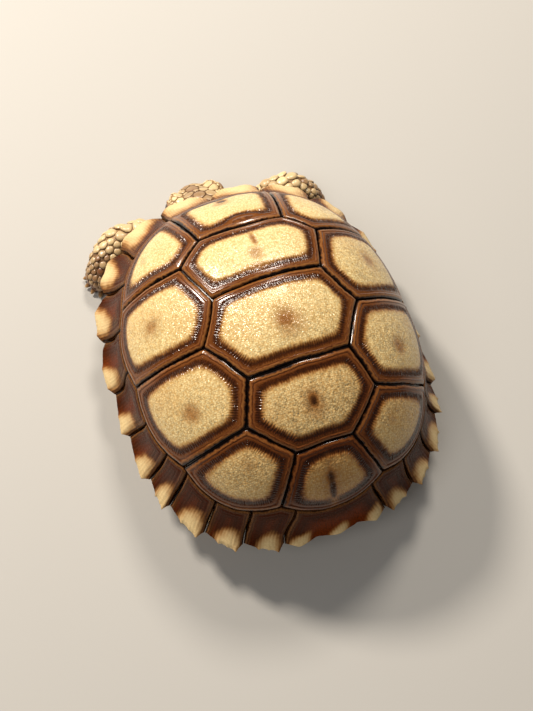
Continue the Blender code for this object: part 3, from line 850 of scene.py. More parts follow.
@dataclass
class DomeScutes:
    """The five vertebral and eight costal scutes, each a closed plate with its growth relief."""

    form: ShellForm
    pitch: float = 0.125
    gap: float = 0.16
    lip_rings: tuple[float, ...] = (0.07, 0.15, 0.24, 0.34, 0.46)
    thickness: float = 0.95
    soften: int = 9
    turn_sharpness: float = 1.5
    turn_reach: float = 9.0
    grain_mm: float = 0.42
    comb_mm: float = 0.42
    v1_v2_c1: Corner = (0.23, -0.54)
    v2_c1_c2: Corner = (0.385, -0.43)
    v2_v3_c2: Corner = (0.32, -0.19)
    v3_c2_c3: Corner = (0.477, 0.05)
    v3_v4_c3: Corner = (0.276, 0.287)
    v4_c3_c4: Corner = (0.346, 0.486)
    v4_v5_c4: Corner = (0.152, 0.671)

    def mirrored(self, corners: tuple[Corner, ...], side: Side) -> tuple[Corner, ...]:
        """The same corners on one side of the animal."""
        if side is Side.LEFT:
            return corners
        return tuple((-c[0], c[1]) if isinstance(c, tuple) else 180.0 - c for c in corners)

    def across(self, *corners: Corner) -> tuple[Corner, ...]:
        """A vertebral scute's corners: those of its left side, front to rear, then the same on its right."""
        return corners + self.mirrored(corners, Side.RIGHT)[::-1]

    def plans(self) -> list[ScutePlan]:
        """Every dome scute, front to rear.

        Returns:
            The thirteen plans.
        """
        v1_c1, c1_c2, c2_c3, c3_c4, c4_v5 = (edge[0] for edge in self.form.lower_edges)
        front = (self.v1_v2_c1, v1_c1, -180.0 - v1_c1, (-self.v1_v2_c1[0], self.v1_v2_c1[1]))
        # In each vertebral, the number after the swell darkens it, more towards the tail: partly its own tone
        # and partly painted shade
        found = [
            ScutePlan(
                "vertebral_1", front, 0.6, 0.0, ((0.01, -0.84, 1.0, 0.8, 1.7), (0.02, -0.8, 1.6, 0.9, 0.6)),
                ((-0.03, -0.6, 3.2, 1.9, 0.6), (0.06, -0.9, 3.6, 1.3, 0.5)),
            ),
            ScutePlan(
                "vertebral_2", self.across(self.v1_v2_c1, self.v2_c1_c2, self.v2_v3_c2), 0.55, 0.0,
                ((-0.02, -0.42, 0.5, 1.6, 0.95), (0.0, -0.33, 1.2, 1.4, 0.75), (0.02, -0.26, 1.9, 0.8, 0.6)),
            ),
            ScutePlan(
                "vertebral_3", self.across(self.v2_v3_c2, self.v3_c2_c3, self.v3_v4_c3), 0.55, 0.08,
                ((0.0, 0.08, 1.7, 1.8, 0.95), (-0.02, 0.12, 2.4, 2.2, 0.6)),
            ),
            ScutePlan(
                "vertebral_4", self.across(self.v3_v4_c3, self.v4_c3_c4, self.v4_v5_c4), 0.55, 0.3,
                ((0.0, 0.47, 1.0, 1.7, 1.25), (0.0, 0.485, 1.7, 2.4, 0.7)),
            ),
            ScutePlan(
                "vertebral_5", self.across(self.v4_v5_c4, c4_v5), 0.55, 0.68,
                ((0.01, 0.86, 1.1, 1.9, 1.3), (0.01, 0.905, 0.85, 3.9, 1.5), (0.01, 0.9, 1.7, 3.8, 0.6)),
            ),
        ]
        costals = (
            (self.v1_v2_c1, self.v2_c1_c2, c1_c2, v1_c1),
            (self.v2_c1_c2, self.v2_v3_c2, self.v3_c2_c3, c2_c3, c1_c2),
            (self.v3_c2_c3, self.v3_v4_c3, self.v4_c3_c4, c3_c4, c2_c3),
            (self.v4_c3_c4, self.v4_v5_c4, c4_v5, c3_c4),
        )
        # Each costal's darkening, greater towards the tail and partly painted shade, and its brown spots
        marks = (
            (0.0, ((0.56, -0.66, 0.8, 0.9, 0.35),)),
            (0.06, ((0.69, -0.23, 1.4, 1.3, 0.8), (0.69, -0.23, 2.2, 2.0, 0.45))),
            (0.2, ((0.62, 0.34, 1.7, 1.6, 0.8),)),
            (0.38, ((0.39, 0.66, 1.1, 1.1, 0.3),)),
        )
        for side in Side:
            for number, (corners, (tan, spots)) in enumerate(zip(costals, marks), 1):
                name = f"costal_{side.word}_{number}"
                placed = tuple((side.value * a, *rest) for a, *rest in spots)
                found.append(ScutePlan(name, self.mirrored(corners, side), 0.45, tan, placed))
        return found

    def edge_of(self, plan: ScutePlan) -> Array:
        """The scute's edge, counter-clockwise, with its corners eased and drawn in from the seam.

        Args:
            plan: The scute.

        Returns:
            Places (a, b) of the edge.
        """
        edge = self.form.outline(plan.corners, self.pitch)
        area = (edge[:, 0] * np.roll(edge[:, 1], -1) - np.roll(edge[:, 0], -1) * edge[:, 1]).sum()
        edge = edge if area > 0 else edge[::-1]
        for _ in range(self.soften):
            edge = eased_ring(edge)
        a, b = edge[:, :1], edge[:, 1:]
        wander = np.sin(a * 31.0 + b * 17.0) + np.sin(b * 43.0 - a * 23.0)
        return self.form.moved_in(edge + 0.0009 * wander, self.gap / 2)

    def lattice(self, edge: Array) -> Array:
        """Evenly spaced places over the scute's extent.

        Args:
            edge: The scute's edge.

        Returns:
            Places (a, b).
        """
        by_a, by_b = self.form.slopes(edge.mean(axis=0, keepdims=True))
        steps = np.array([self.pitch / np.linalg.norm(by_a), self.pitch / np.linalg.norm(by_b)])
        low, high = edge.min(axis=0), edge.max(axis=0)
        rows = np.arange(low[1], high[1], steps[1] * math.sqrt(0.75))
        columns = np.arange(low[0], high[0], steps[0])
        a, b = np.meshgrid(columns, rows)
        a[1::2] += steps[0] / 2
        return np.stack([a.ravel(), b.ravel()], axis=-1)

    def relief(self, points: Array, edge: Array, along: Array, swell: float, spot: Array) -> Array:
        """Height above the dome, from the distances to the edge and along it.

        Args:
            points: Points on the dome.
            edge: Their distances from the edge.
            along: Their places along it.
            swell: How far the scute's middle rises.
            spot: How strongly its brown spots show.

        Returns:
            A height for each point.
        """
        share = np.clip(edge / edge.max(), 0.0, 1.0)
        height = 0.1 + (swell - 0.16) * (1 - (1 - share) ** 2)
        height -= 0.33 * np.clip(1 - edge / 0.28, 0.0, 1.0) ** 2
        bands = 0.09 * bump_at(edge, 0.58, 0.28) - 0.035 * bump_at(edge, 0.4, 0.08)
        height += bands - 0.05 * bump_at(edge, 0.86, 0.1)
        in_ring = smooth_step(1.1, 1.4, edge) * (1 - smooth_step(1.9, 2.4, edge))
        height -= 0.08 * in_ring
        wander = 0.8 * np.sin(points @ (3.1, 2.3, 1.9)) + 0.6 * np.sin(points @ (-5.3, 4.1, 3.7))
        height += 0.035 * in_ring * np.sin(along * math.tau / self.comb_mm + 2.0 * wander)
        areola = smooth_step(1.9, 2.5, edge)
        height += 0.03 * areola * (grain_field(points, self.grain_mm, 5) - 0.5)
        return height - 0.1 * spot

    def eased(self, points: Array, edge: Array, border: Array) -> Array:
        """The distance from the edge, drawn in towards the corners, so that the growth rings turn round
        them.

        Args:
            points: Points on the dome.
            edge: Their distances from the edge.
            border: The edge's points.

        Returns:
            The eased distances.
        """
        sharp, far, block = self.turn_sharpness, self.turn_reach, 4000
        steps = np.linalg.norm(border - np.roll(border, 1, axis=0), axis=1)
        line = np.linspace(-far, far, 361)
        depths = np.linspace(0.0, far, 91)
        straight = np.exp(-sharp * np.hypot(depths[:, None], line)).sum(axis=1) * (line[1] - line[0])
        found = np.empty(len(points))
        for start in range(0, len(points), block):
            part = points[start : start + block]
            apart = (part**2).sum(1)[:, None] + (border**2).sum(1) - 2 * part @ border.T
            found[start : start + block] = np.exp(-sharp * np.sqrt(np.maximum(apart, 0.0))) @ steps
        turned = np.log(found / np.interp(edge, depths, straight)) / sharp
        return edge - np.clip(turned, 0.0, 0.75) * smooth_step(0.5, 1.6, edge)

    def marked(self, points: Array, marks: tuple[Mark, ...]) -> Array:
        """How strongly a scute's marks show at each point.

        Args:
            points: Points on the dome.
            marks: The scute's spots or bulges.

        Returns:
            0 where there is no mark, up to the mark's strength.
        """
        shown = np.zeros(len(points))
        for a, b, wide, long, strength in marks:
            away = points - self.form.dome(np.array([[a, b]]))
            across = away[:, 0] / wide
            down = np.hypot(away[:, 1], away[:, 2]) / long
            shown = np.maximum(shown, strength * np.exp(-((across**2 + down**2) ** 1.5)))
        return shown

    def build(self, plan: ScutePlan, finish: Material) -> Object:
        """One scute as a closed plate.

        Args:
            plan: The scute.
            finish: Its material.

        Returns:
            The piece.
        """
        border = self.edge_of(plan)
        rim_points = self.form.dome(border)
        grid = self.lattice(border)
        apart = nearest_on_line(self.form.dome(grid), rim_points, closed=True)[0]
        grid = grid[apart > self.lip_rings[-1] + 0.6 * self.pitch]
        grid = np.vstack([self.form.moved_in(border, depth) for depth in self.lip_rings] + [grid])
        surface = self.form.dome(grid)
        distance, along = nearest_on_line(surface, rim_points, closed=True)
        count = len(border)
        inner, triangles = filled(border, grid)
        places = np.vstack([border, grid[inner]])
        points = np.vstack([rim_points, surface[inner]])
        steps = np.linalg.norm(np.diff(np.vstack([rim_points, rim_points[:1]]), axis=0), axis=1)
        edge = np.concatenate([np.zeros(count), distance[inner]])
        run = np.concatenate([np.cumsum(steps) - steps, along[inner]])
        spot, bulge = self.marked(points, plan.spots), self.marked(points, plan.bulges)
        normals = self.form.dome_normal(places)
        edge = self.eased(points, edge, rim_points)
        edge *= 1 - bulge * smooth_step(0.5, 1.6, edge)
        edge *= 1 - 0.26 * np.clip((0.78 - normals[:, 2]) / 0.5, 0.0, 1.0) * smooth_step(0.2, 1.0, edge)
        top = points + normals * (self.relief(points, edge, run, plan.swell, spot) + 0.22 * bulge)[:, None]
        foot = rim_points - normals[:count] * self.thickness
        inside = border.mean(axis=0, keepdims=True)
        middle = self.form.dome(inside) - self.form.dome_normal(inside) * self.thickness
        faced = {"edge": edge, "along": run, "spot": spot, "tan": np.full(len(edge), plan.tan)}
        values = {label: np.concatenate([numbers, np.zeros(count + 1)]) for label, numbers in faced.items()}
        plate = closed_plate(len(top), count, triangles)
        return make_piece(plan.name + "_scute", np.vstack([top, foot, middle]), plate, finish, **values)

    def make(self) -> None:
        """Builds every dome scute over its node."""
        finish = DomeKeratin().make()
        for plan in self.plans():
            hand_over(self.build(plan, finish), "dome_scute", plan.name)


@dataclass
class Marginals:
    """The eleven marginal scutes of each side and the one over the tail."""

    form: ShellForm
    gap: float = 0.16
    inside: float = 1.4
    step: float = 0.15
    rows: int = 58
    tops: tuple[float, ...] = (-90.0, -71.2, -52.8, -42.0, -24.5, -7.3, 14.3, 28.5, 38.5, 51.0, 62.8, 76.8)
    feet: tuple[float, ...] = (-90.0, -73.1, -56.4, -41.8, -26.0, -6.7, 10.2, 26.7, 37.1, 50.3, 62.0, 73.9)
    tooth: tuple[Pair, ...] = ((0.0, -0.9), (0.3, -0.45), (0.6, -0.1), (0.84, 0.25), (1.0, -0.8))
    tail_teeth: tuple[Pair, ...] = (
        (0.0, -0.7), (0.13, 0.35), (0.3, -0.55), (0.5, 0.3), (0.7, -0.55), (0.87, 0.35), (1.0, -0.7)
    )
    # For marginals 1 to 11: the pale tip's middle along the rim, its half width and how far up it reaches
    pale_tips: tuple[Triple, ...] = (
        (0.5, 0.6, 1.0), (0.5, 0.48, 0.78), (0.56, 0.4, 0.62), (0.6, 0.36, 0.58), (0.68, 0.28, 0.6),
        (0.7, 0.28, 0.58), (0.7, 0.3, 0.58), (0.66, 0.36, 0.56), (0.62, 0.42, 0.56), (0.6, 0.42, 0.52),
        (0.58, 0.36, 0.42),
    )

    def faces_of(
        self, top: Array, foot: Array, out: Array, shares: Array
    ) -> tuple[Array, Array, Array, Array]:
        """The outer face's points, by share down it and then along it, and what its other faces start
        from.

        Args:
            top: Degrees of each column's start on the seam above.
            foot: Degrees of its end at the rim.
            out: How far out of the rim line it ends.
            shares: The rows, as shares of the way down.

        Returns:
            The face, the rim's points, and the directions outwards at the rim and at the seam.
        """
        edge = self.form.lower_edge(top)
        start, end, normal = self.form.dome(edge), self.form.rim(foot, out), self.form.dome_normal(edge)
        turn = np.radians(top)
        sideways = np.stack([-np.sin(turn), np.cos(turn), np.zeros_like(turn)], axis=-1)
        down = unit(np.cross(sideways, normal))
        down *= np.where(down[:, 2:] < 0, 1.0, -1.0)
        outwards = unit((end - (0.0, self.form.shift, 0.0)) * (1.0, 1.0, 0.0))
        length = np.linalg.norm(end - start, axis=1)[:, None]
        flare = (outwards * 0.8 + (0.0, 0.0, -0.6)) * length * 1.1
        t = np.maximum(shares[:, None, None], self.gap / 2 / length[None])
        t2, t3 = t * t, t * t * t
        face = start * (2 * t3 - 3 * t2 + 1) + down * length * (t3 - 2 * t2 + t)
        return face + end * (3 * t2 - 2 * t3) + flare * (t3 - t2), end, outwards, normal

    def build(
        self, name: str, tops: Pair, feet: Pair, teeth: tuple[Pair, ...],
        side: Side, pale: tuple[Triple, ...], blocky: float, finish: Material,
    ) -> Object:
        """One marginal scute between two seams, closed, with its teeth along the rim.

        Args:
            name: The node that it stands for.
            tops: Degrees of its two seams at its top edge.
            feet: Degrees of the two seams at the rim.
            teeth: How far along it, and how far out of the rim line.
            side: The side of the animal.
            pale: Each pale tip's middle, half width and height, as shares.
            blocky: How strongly the tip is worn into small notches.
            finish: The material.

        Returns:
            The piece.
        """
        ends = self.form.rim(np.array(feet), np.zeros(2))
        columns = max(30, round(float(np.linalg.norm(ends[1] - ends[0])) / self.step))
        u = np.linspace(0.0, 1.0, columns)
        knots = np.array(teeth)
        out = np.interp(u, knots[:, 0], knots[:, 1])
        lobe = np.clip(-np.mean(tops) / 30.0, 0.0, 1.0)
        out = out * (1 - lobe) + lobe * (
            0.25 - 1.5 * np.abs(2 * u - 1.1) ** 3.2 + 0.16 * np.sin(13.0 * u + tops[0])
        )
        kernel = np.hanning(max(5, columns // 9) | 1)
        padded = np.pad(out, len(kernel) // 2, mode="edge")
        out = np.convolve(padded, kernel / kernel.sum(), mode="valid")
        spikes = ((pale[-1][0] - 0.2, 0.7), (pale[-1][0] + 0.04, 0.35), (0.87, 1.0))
        notches = sum(high * blocky * np.exp(-np.abs(u - place) / 0.045) for place, high in spikes)
        notches = notches - 0.25 * blocky + 0.012 * np.sin(u * 61.0)
        edge_pull = np.degrees(self.gap / 2 / self.form.rim_front) * (1 - 2 * u)
        top = tops[0] + (tops[1] - tops[0]) * u + edge_pull * 1.25
        foot = feet[0] + (feet[1] - feet[0]) * u + edge_pull
        rows, shares = self.rows, np.linspace(0.0, 1.0, self.rows)
        face, end, outwards, normal = self.faces_of(top, foot, out, shares)
        face = face + outwards * notches[:, None] * (shares[:, None, None] ** 9)
        end = end + outwards * notches[:, None]
        bridge = np.clip((14.0 - np.abs(end[:, 1] - self.form.shift)) / 3.0, 0.0, 1.0)[:, None]
        open_inner = end - outwards * 3.4 + (0.0, 0.0, -1.2)
        bridge_inner = np.stack(
            [
                np.copysign(20.77, end[:, 0]), (end[:, 1] - self.form.shift) * 0.97 + self.form.shift,
                np.full(columns, 3.55),
            ],
            axis=-1,
        )
        inner = open_inner + (bridge_inner - open_inner) * bridge
        mixed = unit(normal + (outwards - normal) * 0.6)
        at = np.argmin(np.abs(shares - 0.62))
        below = [
            end - outwards * 0.22 + (0.0, 0.0, -0.42), end - outwards * 0.55 + (0.0, 0.0, -0.72),
            end * 0.6 + inner * 0.4 - outwards * 0.15 + (0.0, 0.0, -0.42), inner,
            inner + (0.0, 0.0, 0.7) - outwards * 0.15, inner + (0.0, 0.0, 1.35) - outwards * 0.1,
            face[at] - mixed * (self.inside + 0.2), face[0] - normal * self.inside,
        ]
        seams = np.vstack([face[::-1, 0], face[0, 1:-1], face[:, -1]])
        edge, _ = nearest_on_line(face.reshape(-1, 3), seams, closed=False)
        down = np.repeat(shares[:, None], columns, axis=1).ravel()
        across = np.repeat(u[None], rows, axis=0).ravel()
        tips = np.zeros(len(down))
        for middle, half, high in pale:
            reach = np.hypot((across - middle - 0.18 * (1 - down)) / half, (1 - down) / high)
            tips = np.maximum(tips, np.clip(1.15 - reach, 0.0, 1.1))
        tips *= smooth_step(0.25, 0.75, edge)
        by_u, by_v = np.gradient(face, axis=1), np.gradient(face, axis=0)
        facing = unit(np.cross(by_u, by_v).reshape(-1, 3))
        facing *= np.where((facing * np.tile(outwards, (rows, 1))).sum(1, keepdims=True) < 0, -1.0, 1.0)
        height = -0.3 * np.clip(1 - edge / 0.4, 0.0, 1.0) ** 2 + 0.07 * bump_at(edge, 0.5, 0.22)
        in_rings = smooth_step(0.6, 1.0, edge) * (1 - smooth_step(2.0, 3.5, edge))
        height += 0.02 * np.sin(edge * math.tau / 0.62) * in_rings
        height += 0.2 * smooth_step(0.1, 0.9, tips) - 0.05 * bump_at(edge, 0.95, 0.12)
        height *= 1 - smooth_step(0.93, 1.0, down)
        outer = face.reshape(-1, 3) + facing * height[:, None]
        points = np.vstack([outer] + below)
        values = {
            "edge": np.concatenate([edge, np.full(len(below) * columns, 2.5)]),
            "across": np.concatenate([
                across * columns * self.step, np.tile(u * columns * self.step, len(below))
            ]),
            "pale": np.concatenate([tips, np.tile(tips[-columns:], len(below)) * 0.9]),
        }
        total_rows = rows + len(below)
        last = np.arange(columns - 1)
        join = last + (total_rows - 1) * columns
        triangles = [
            triangles_of_grid(total_rows, columns), np.stack([join, join + 1, last + 1], axis=-1),
            np.stack([join, last + 1, last], axis=-1),
        ]
        for column in (0, columns - 1):
            ring = np.arange(total_rows) * columns + column
            caps = tessellate_polygon([[Vector(p) for p in points[ring].tolist()]])
            triangles.append(ring[np.array(caps)])
        points = points * (side.value, 1.0, 1.0)
        return make_piece(name + "_scute", points, np.vstack(triangles), finish, **values)

    def make(self) -> None:
        """Builds every marginal over its node."""
        finish = RimKeratin().make()
        made = []
        for side in Side:
            for number in range(1, 12):
                name = f"marginal_{side.word}_{number}"
                blocky = 0.0 if number < 4 else 0.25 if number < 8 else 0.6
                piece = self.build(
                    name, self.tops[number - 1:number + 1], self.feet[number - 1:number + 1], self.tooth,
                    side, self.pale_tips[number - 1:number], blocky, finish,
                )
                made.append((name, piece))
        tips = ((0.13, 0.12, 0.36), (0.5, 0.12, 0.3), (0.87, 0.12, 0.36))
        tail = self.build(
            "supracaudal", (self.tops[-1], 180.0 - self.tops[-1]), (self.feet[-1], 180.0 - self.feet[-1]),
            self.tail_teeth, Side.LEFT, tips, 0.2, finish,
        )
        for name, piece in made + [("supracaudal", tail)]:
            hand_over(piece, "rim_scute", name)


@dataclass
class Plastron:
    """The twelve scutes of the underside, flat where they stand and bent up into the bridges."""

    form: ShellForm
    gap: float = 0.3
    pitch: float = 0.24
    soften: int = 7
    thickness: float = 1.5
    bend: float = 14.5
    bridge: float = 20.3
    rise: float = 3.0
    # Each left scute's outline, in millimetres, counter-clockwise from above
    outlines: tuple[tuple[str, tuple[Pair, ...]], ...] = (
        ("gular", ((0.0, -24.0), (0.0, -28.7), (2.4, -29.6), (4.4, -29.0), (6.2, -26.9))),
        (
            "humeral",
            (
                (0.0, -14.6), (0.0, -24.0), (6.2, -26.9), (8.9, -24.6), (11.2, -21.4), (12.6, -17.6),
                (13.2, -14.0),
            ),
        ),
        (
            "pectoral",
            ((0.0, -14.4), (14.5, -13.3), (17.9, -12.64), (20.3, -12.2), (20.3, -9.2), (0.0, -9.2)),
        ),
        ("abdominal", ((0.0, -9.0), (20.3, -9.0), (20.3, 12.0), (17.9, 11.84), (14.5, 11.6), (0.0, 11.2))),
        ("femoral", ((0.0, 11.4), (13.4, 12.0), (11.6, 14.8), (10.3, 18.6), (9.9, 21.8), (0.0, 19.2))),
        (
            "anal",
            ((0.0, 19.2), (9.9, 21.8), (8.8, 24.8), (6.6, 27.0), (4.3, 27.9), (2.4, 27.2), (0.0, 25.2)),
        ),
    )

    def edge_of(self, corners: tuple[Pair, ...]) -> Array:
        """A scute's edge as close points, drawn in from the seam and eased at its corners.

        Args:
            corners: The scute's corners.

        Returns:
            The edge's places, counter-clockwise.
        """
        ends = np.array(corners + corners[:1])
        parts = []
        for start, end in zip(ends, ends[1:]):
            steps = max(2, round(float(np.linalg.norm(end - start)) / self.pitch))
            parts.append(start + (end - start) * np.linspace(0.0, 1.0, steps, endpoint=False)[:, None])
        edge = np.vstack(parts)
        for _ in range(self.soften):
            edge = eased_ring(edge)
        way = unit(np.roll(edge, -1, axis=0) - np.roll(edge, 1, axis=0))
        return edge + np.column_stack([-way[:, 1], way[:, 0]]) * self.gap / 2

    def build(self, name: str, corners: tuple[Pair, ...], side: Side, finish: Material) -> Object:
        """One scute as a closed plate whose worn face points down.

        Args:
            name: The scute's name.
            corners: Its corners on the left.
            side: The side of the animal.
            finish: Its material.

        Returns:
            The piece.
        """
        border = self.edge_of(corners)
        low, high = border.min(axis=0), border.max(axis=0)
        x, y = np.meshgrid(
            np.arange(low[0], high[0], self.pitch), np.arange(low[1], high[1], self.pitch * 0.866)
        )
        x[1::2] += self.pitch / 2
        inner = np.column_stack([x.ravel(), y.ravel()])
        flat = np.column_stack([border, np.zeros(len(border))])
        edge, _ = nearest_on_line(np.column_stack([inner, np.zeros(len(inner))]), flat, closed=True)
        clear = edge > 0.6 * self.pitch
        inner, edge = inner[clear], edge[clear]
        used, triangles = filled(border, inner)
        places = np.vstack([border, inner[used]])
        edge = np.concatenate([np.zeros(len(border)), edge[used]])
        share = np.clip((places[:, 0] - self.bend) / (self.bridge - self.bend), 0.0, 1.0)
        wander = 0.25 * np.sin(places @ (0.9, 1.3)) + 0.15 * np.sin(places @ (-2.1, 1.7))
        sunk = 0.42 * np.clip(1 - edge / 0.7, 0.0, 1.0) ** 2
        sunk += 0.035 * (1 + np.sin((edge + wander) * math.tau / 0.75)) * (1 - smooth_step(2.5, 4.5, edge))
        dapple = np.sin(places @ (9.0, 5.0)) * np.sin(places @ (-4.0, 8.0))
        sunk += 0.015 * (1 + dapple) * smooth_step(3.0, 5.0, edge)
        height = self.rise * share**2
        face = np.column_stack([places, height + sunk])
        count = len(border)
        raised = np.column_stack([-1.05 * share[:count], np.zeros(count), np.full(count, self.thickness)])
        middle = np.append(border.mean(axis=0), self.thickness)
        points = np.vstack([face, face[:count] + raised, middle]) + (0.0, self.form.shift, 0.0)
        plate = closed_plate(len(face), count, triangles)
        plate = plate[:, ::-1] if side is Side.LEFT else plate
        edges = np.concatenate([edge, np.full(count + 1, 2.2)])
        return make_piece(
            f"{name}_{side.word}_scute", points * (side.value, 1.0, 1.0), plate, finish, edge=edges
        )

    def make(self) -> None:
        """Builds every scute of the underside over its node."""
        finish = PlastronKeratin().make()
        for name, corners in self.outlines:
            for side in Side:
                hand_over(self.build(name, corners, side, finish), "plastron_scute", f"{name}_{side.word}")


@dataclass
class ShellBed:
    """The closed sheet of dark horn and bone under the dome scutes, which shows black in their seams."""

    form: ShellForm
    depth: float = 0.55
    thickness: float = 1.2
    reach: float = 1.02
    rings: int = 34
    spokes: int = 128

    def make(self) -> None:
        """Builds the sheet."""
        turns = np.linspace(0.0, math.tau, self.spokes, endpoint=False)
        reaches = np.linspace(0.02, self.reach, self.rings)
        places = np.stack(
            [np.outer(reaches, np.cos(turns)), np.outer(reaches, np.sin(turns))], axis=-1
        ).reshape(-1, 2)
        surface, normals = self.form.dome(places), self.form.dome_normal(places)
        outer, inner = surface - normals * self.depth, surface - normals * (self.depth + self.thickness)
        count = len(outer)
        sheet = triangles_of_grid(self.rings, self.spokes, around=True)
        lip = np.arange(self.spokes) + (self.rings - 1) * self.spokes
        after = np.roll(lip, -1)
        around, pole = np.arange(self.spokes), np.full(self.spokes, 2 * count)
        turned = np.roll(around, -1)
        walls = (
            (lip, lip + count, after + count), (lip, after + count, after), (pole, around, turned),
            (pole + 1, turned + count, around + count),
        )
        triangles = np.vstack([sheet, sheet[:, ::-1] + count] + [np.stack(wall, axis=-1) for wall in walls])
        poles = np.array([outer[: self.spokes].mean(axis=0), inner[: self.spokes].mean(axis=0)])
        piece = make_piece("shell_bed", np.vstack([outer, inner, poles]), triangles, SeamBed().make())
        hand_over(piece, "shell_lining")


# ---------------------------------------------------------------- flesh


@dataclass(frozen=True)
class TortoiseSkin:
    """Thick dry reptile skin between the scales, folded and finely pebbled, brown, with painted shade at
    mouth, nostrils and lids.
    """

    dark: str = "#4A2E18"
    mid: str = "#AE8452"

    def make(self) -> Material:
        """Makes the material. It reads the attributes tone, horn and the painted shade of the hollows.

        Returns:
            The material.
        """
        material, node = new_material("tortoise_skin", 0.5)
        hollow = node("Attribute", attribute_name="hollow").outputs["Fac"]
        place = node("TexCoord").outputs["Object"]
        tone = node("Attribute", attribute_name="tone").outputs["Fac"]
        horn = node("Attribute", attribute_name="horn").outputs["Fac"]
        cloud = node("TexNoise", {"Vector": place, "Scale": 1 / (2.0 * MM), "Detail": 5.0})
        pebble = node("TexVoronoi", {"Vector": place, "Scale": 1 / (0.3 * MM)})
        share = node("Math", (tone, node("Math", (cloud, 0.7, -0.35), "MULTIPLY_ADD")), "ADD", use_clamp=True)
        colour = node("Mix", (share, self.dark, self.mid))
        colour = node("Mix", (node("Math", (pebble, 0.5), "MULTIPLY", use_clamp=True), colour, "#553318"))
        beak = node("Mix", (cloud, "#7A5230", "#C09560"))
        colour = node("Mix", (horn, colour, beak))
        # Painted shade in the mouth's line, the nostrils and round the lids
        colour = node("Mix", (node("Math", (hollow, 0.9), "MULTIPLY", use_clamp=True), colour, "#20110A"))
        height = node(
            "Math", (node("Math", (1.0, pebble), "SUBTRACT"), node("Math", (1.0, horn), "SUBTRACT")),
            "MULTIPLY",
        )
        height = node("Math", (cloud, 0.5, height), "MULTIPLY_ADD")
        bump = node("Bump", {"Height": height, "Strength": 0.8, "Distance": 0.06 * MM})
        return finished(material, {"Base Color": colour, "Normal": bump})


@dataclass(frozen=True)
class ScaleHorn:
    """Horn of a body scale: pale straw on its crown, brown at its edge, and worn to a low sheen."""

    dark: str = "#754A2C"
    pale: str = "#E8CD98"

    def make(self) -> Material:
        """Makes the material. It reads the attributes tone and crown.

        Returns:
            The material.
        """
        material, node = new_material("scale_horn", 0.36, 0.12)
        place = node("TexCoord").outputs["Object"]
        tone = node("Attribute", attribute_name="tone").outputs["Fac"]
        crown = node("Attribute", attribute_name="crown").outputs["Fac"]
        cloud = node("TexNoise", {"Vector": place, "Scale": 1 / (1.4286 * MM), "Detail": 4.0})
        share = node("Math", (tone, node("Math", (cloud, 0.5, -0.25), "MULTIPLY_ADD")), "ADD", use_clamp=True)
        colour = node("Mix", (share, self.dark, self.pale))
        edge = node("MapRange", (crown, 0.55, 0.05), interpolation_type="LINEAR")
        colour = node("Mix", (edge, colour, "#7A5028"), blend_type="MULTIPLY")
        bump = node("Bump", {"Height": cloud, "Strength": 0.5, "Distance": 0.06 * MM})
        return finished(material, {"Base Color": colour, "Normal": bump})


@dataclass(frozen=True)
class ClawHorn:
    """Horn of the claws, dark at the root and worn paler to the point, polished."""

    def make(self) -> Material:
        """Makes the material. It reads the attribute reach, from 0 at the root to 1 at the point.

        Returns:
            The material.
        """
        material, node = new_material("claw_horn", 0.28, 0.2)
        place = node("TexCoord").outputs["Object"]
        reach = node("Attribute", attribute_name="reach").outputs["Fac"]
        cloud = node("TexNoise", {"Vector": place, "Scale": 1 / (1.111 * MM), "Detail": 3.0})
        ramp = node(
            "ValToRGB",
            {
                "Fac": node(
                    "Math", (reach, node("Math", (cloud, 0.3, -0.15), "MULTIPLY_ADD")), "ADD",
                    use_clamp=True,
                )
            },
            stops=((0.0, "#2E190D"), (1.0, "#C9A573"), (0.5, "#5A3A20"), (0.8, "#936C42")),
        )
        bump = node("Bump", {"Height": cloud, "Strength": 0.4, "Distance": 0.04 * MM})
        return finished(material, {"Base Color": ramp, "Normal": bump})


@dataclass(frozen=True)
class EyeGloss:
    """A dark wet eye: a black pupil in a deep brown iris under a clear cornea."""

    def make(self) -> Material:
        """Makes the material. It reads the attribute off_axis, in eye radii from the pupil's middle.

        Returns:
            The material.
        """
        material, node = new_material("wet_eye", 0.06, 0.6)
        away = node("Attribute", attribute_name="off_axis").outputs["Fac"]
        place = node("TexCoord").outputs["Object"]
        cloud = node("TexNoise", {"Vector": place, "Scale": 1 / (0.3846 * MM), "Detail": 3.0})
        ramp = node(
            "ValToRGB",
            {
                "Fac": node(
                    "Math", (away, node("Math", (cloud, 0.08, -0.04), "MULTIPLY_ADD")), "ADD",
                    use_clamp=True,
                )
            },
            stops=(
                (0.0, "#020202"), (1.0, "#241209"), (0.3, "#030202"), (0.36, "#4A2A12"), (0.6, "#38200F"),
                (0.7, "#120905"),
            ),
        )
        return finished(material, {"Base Color": ramp})


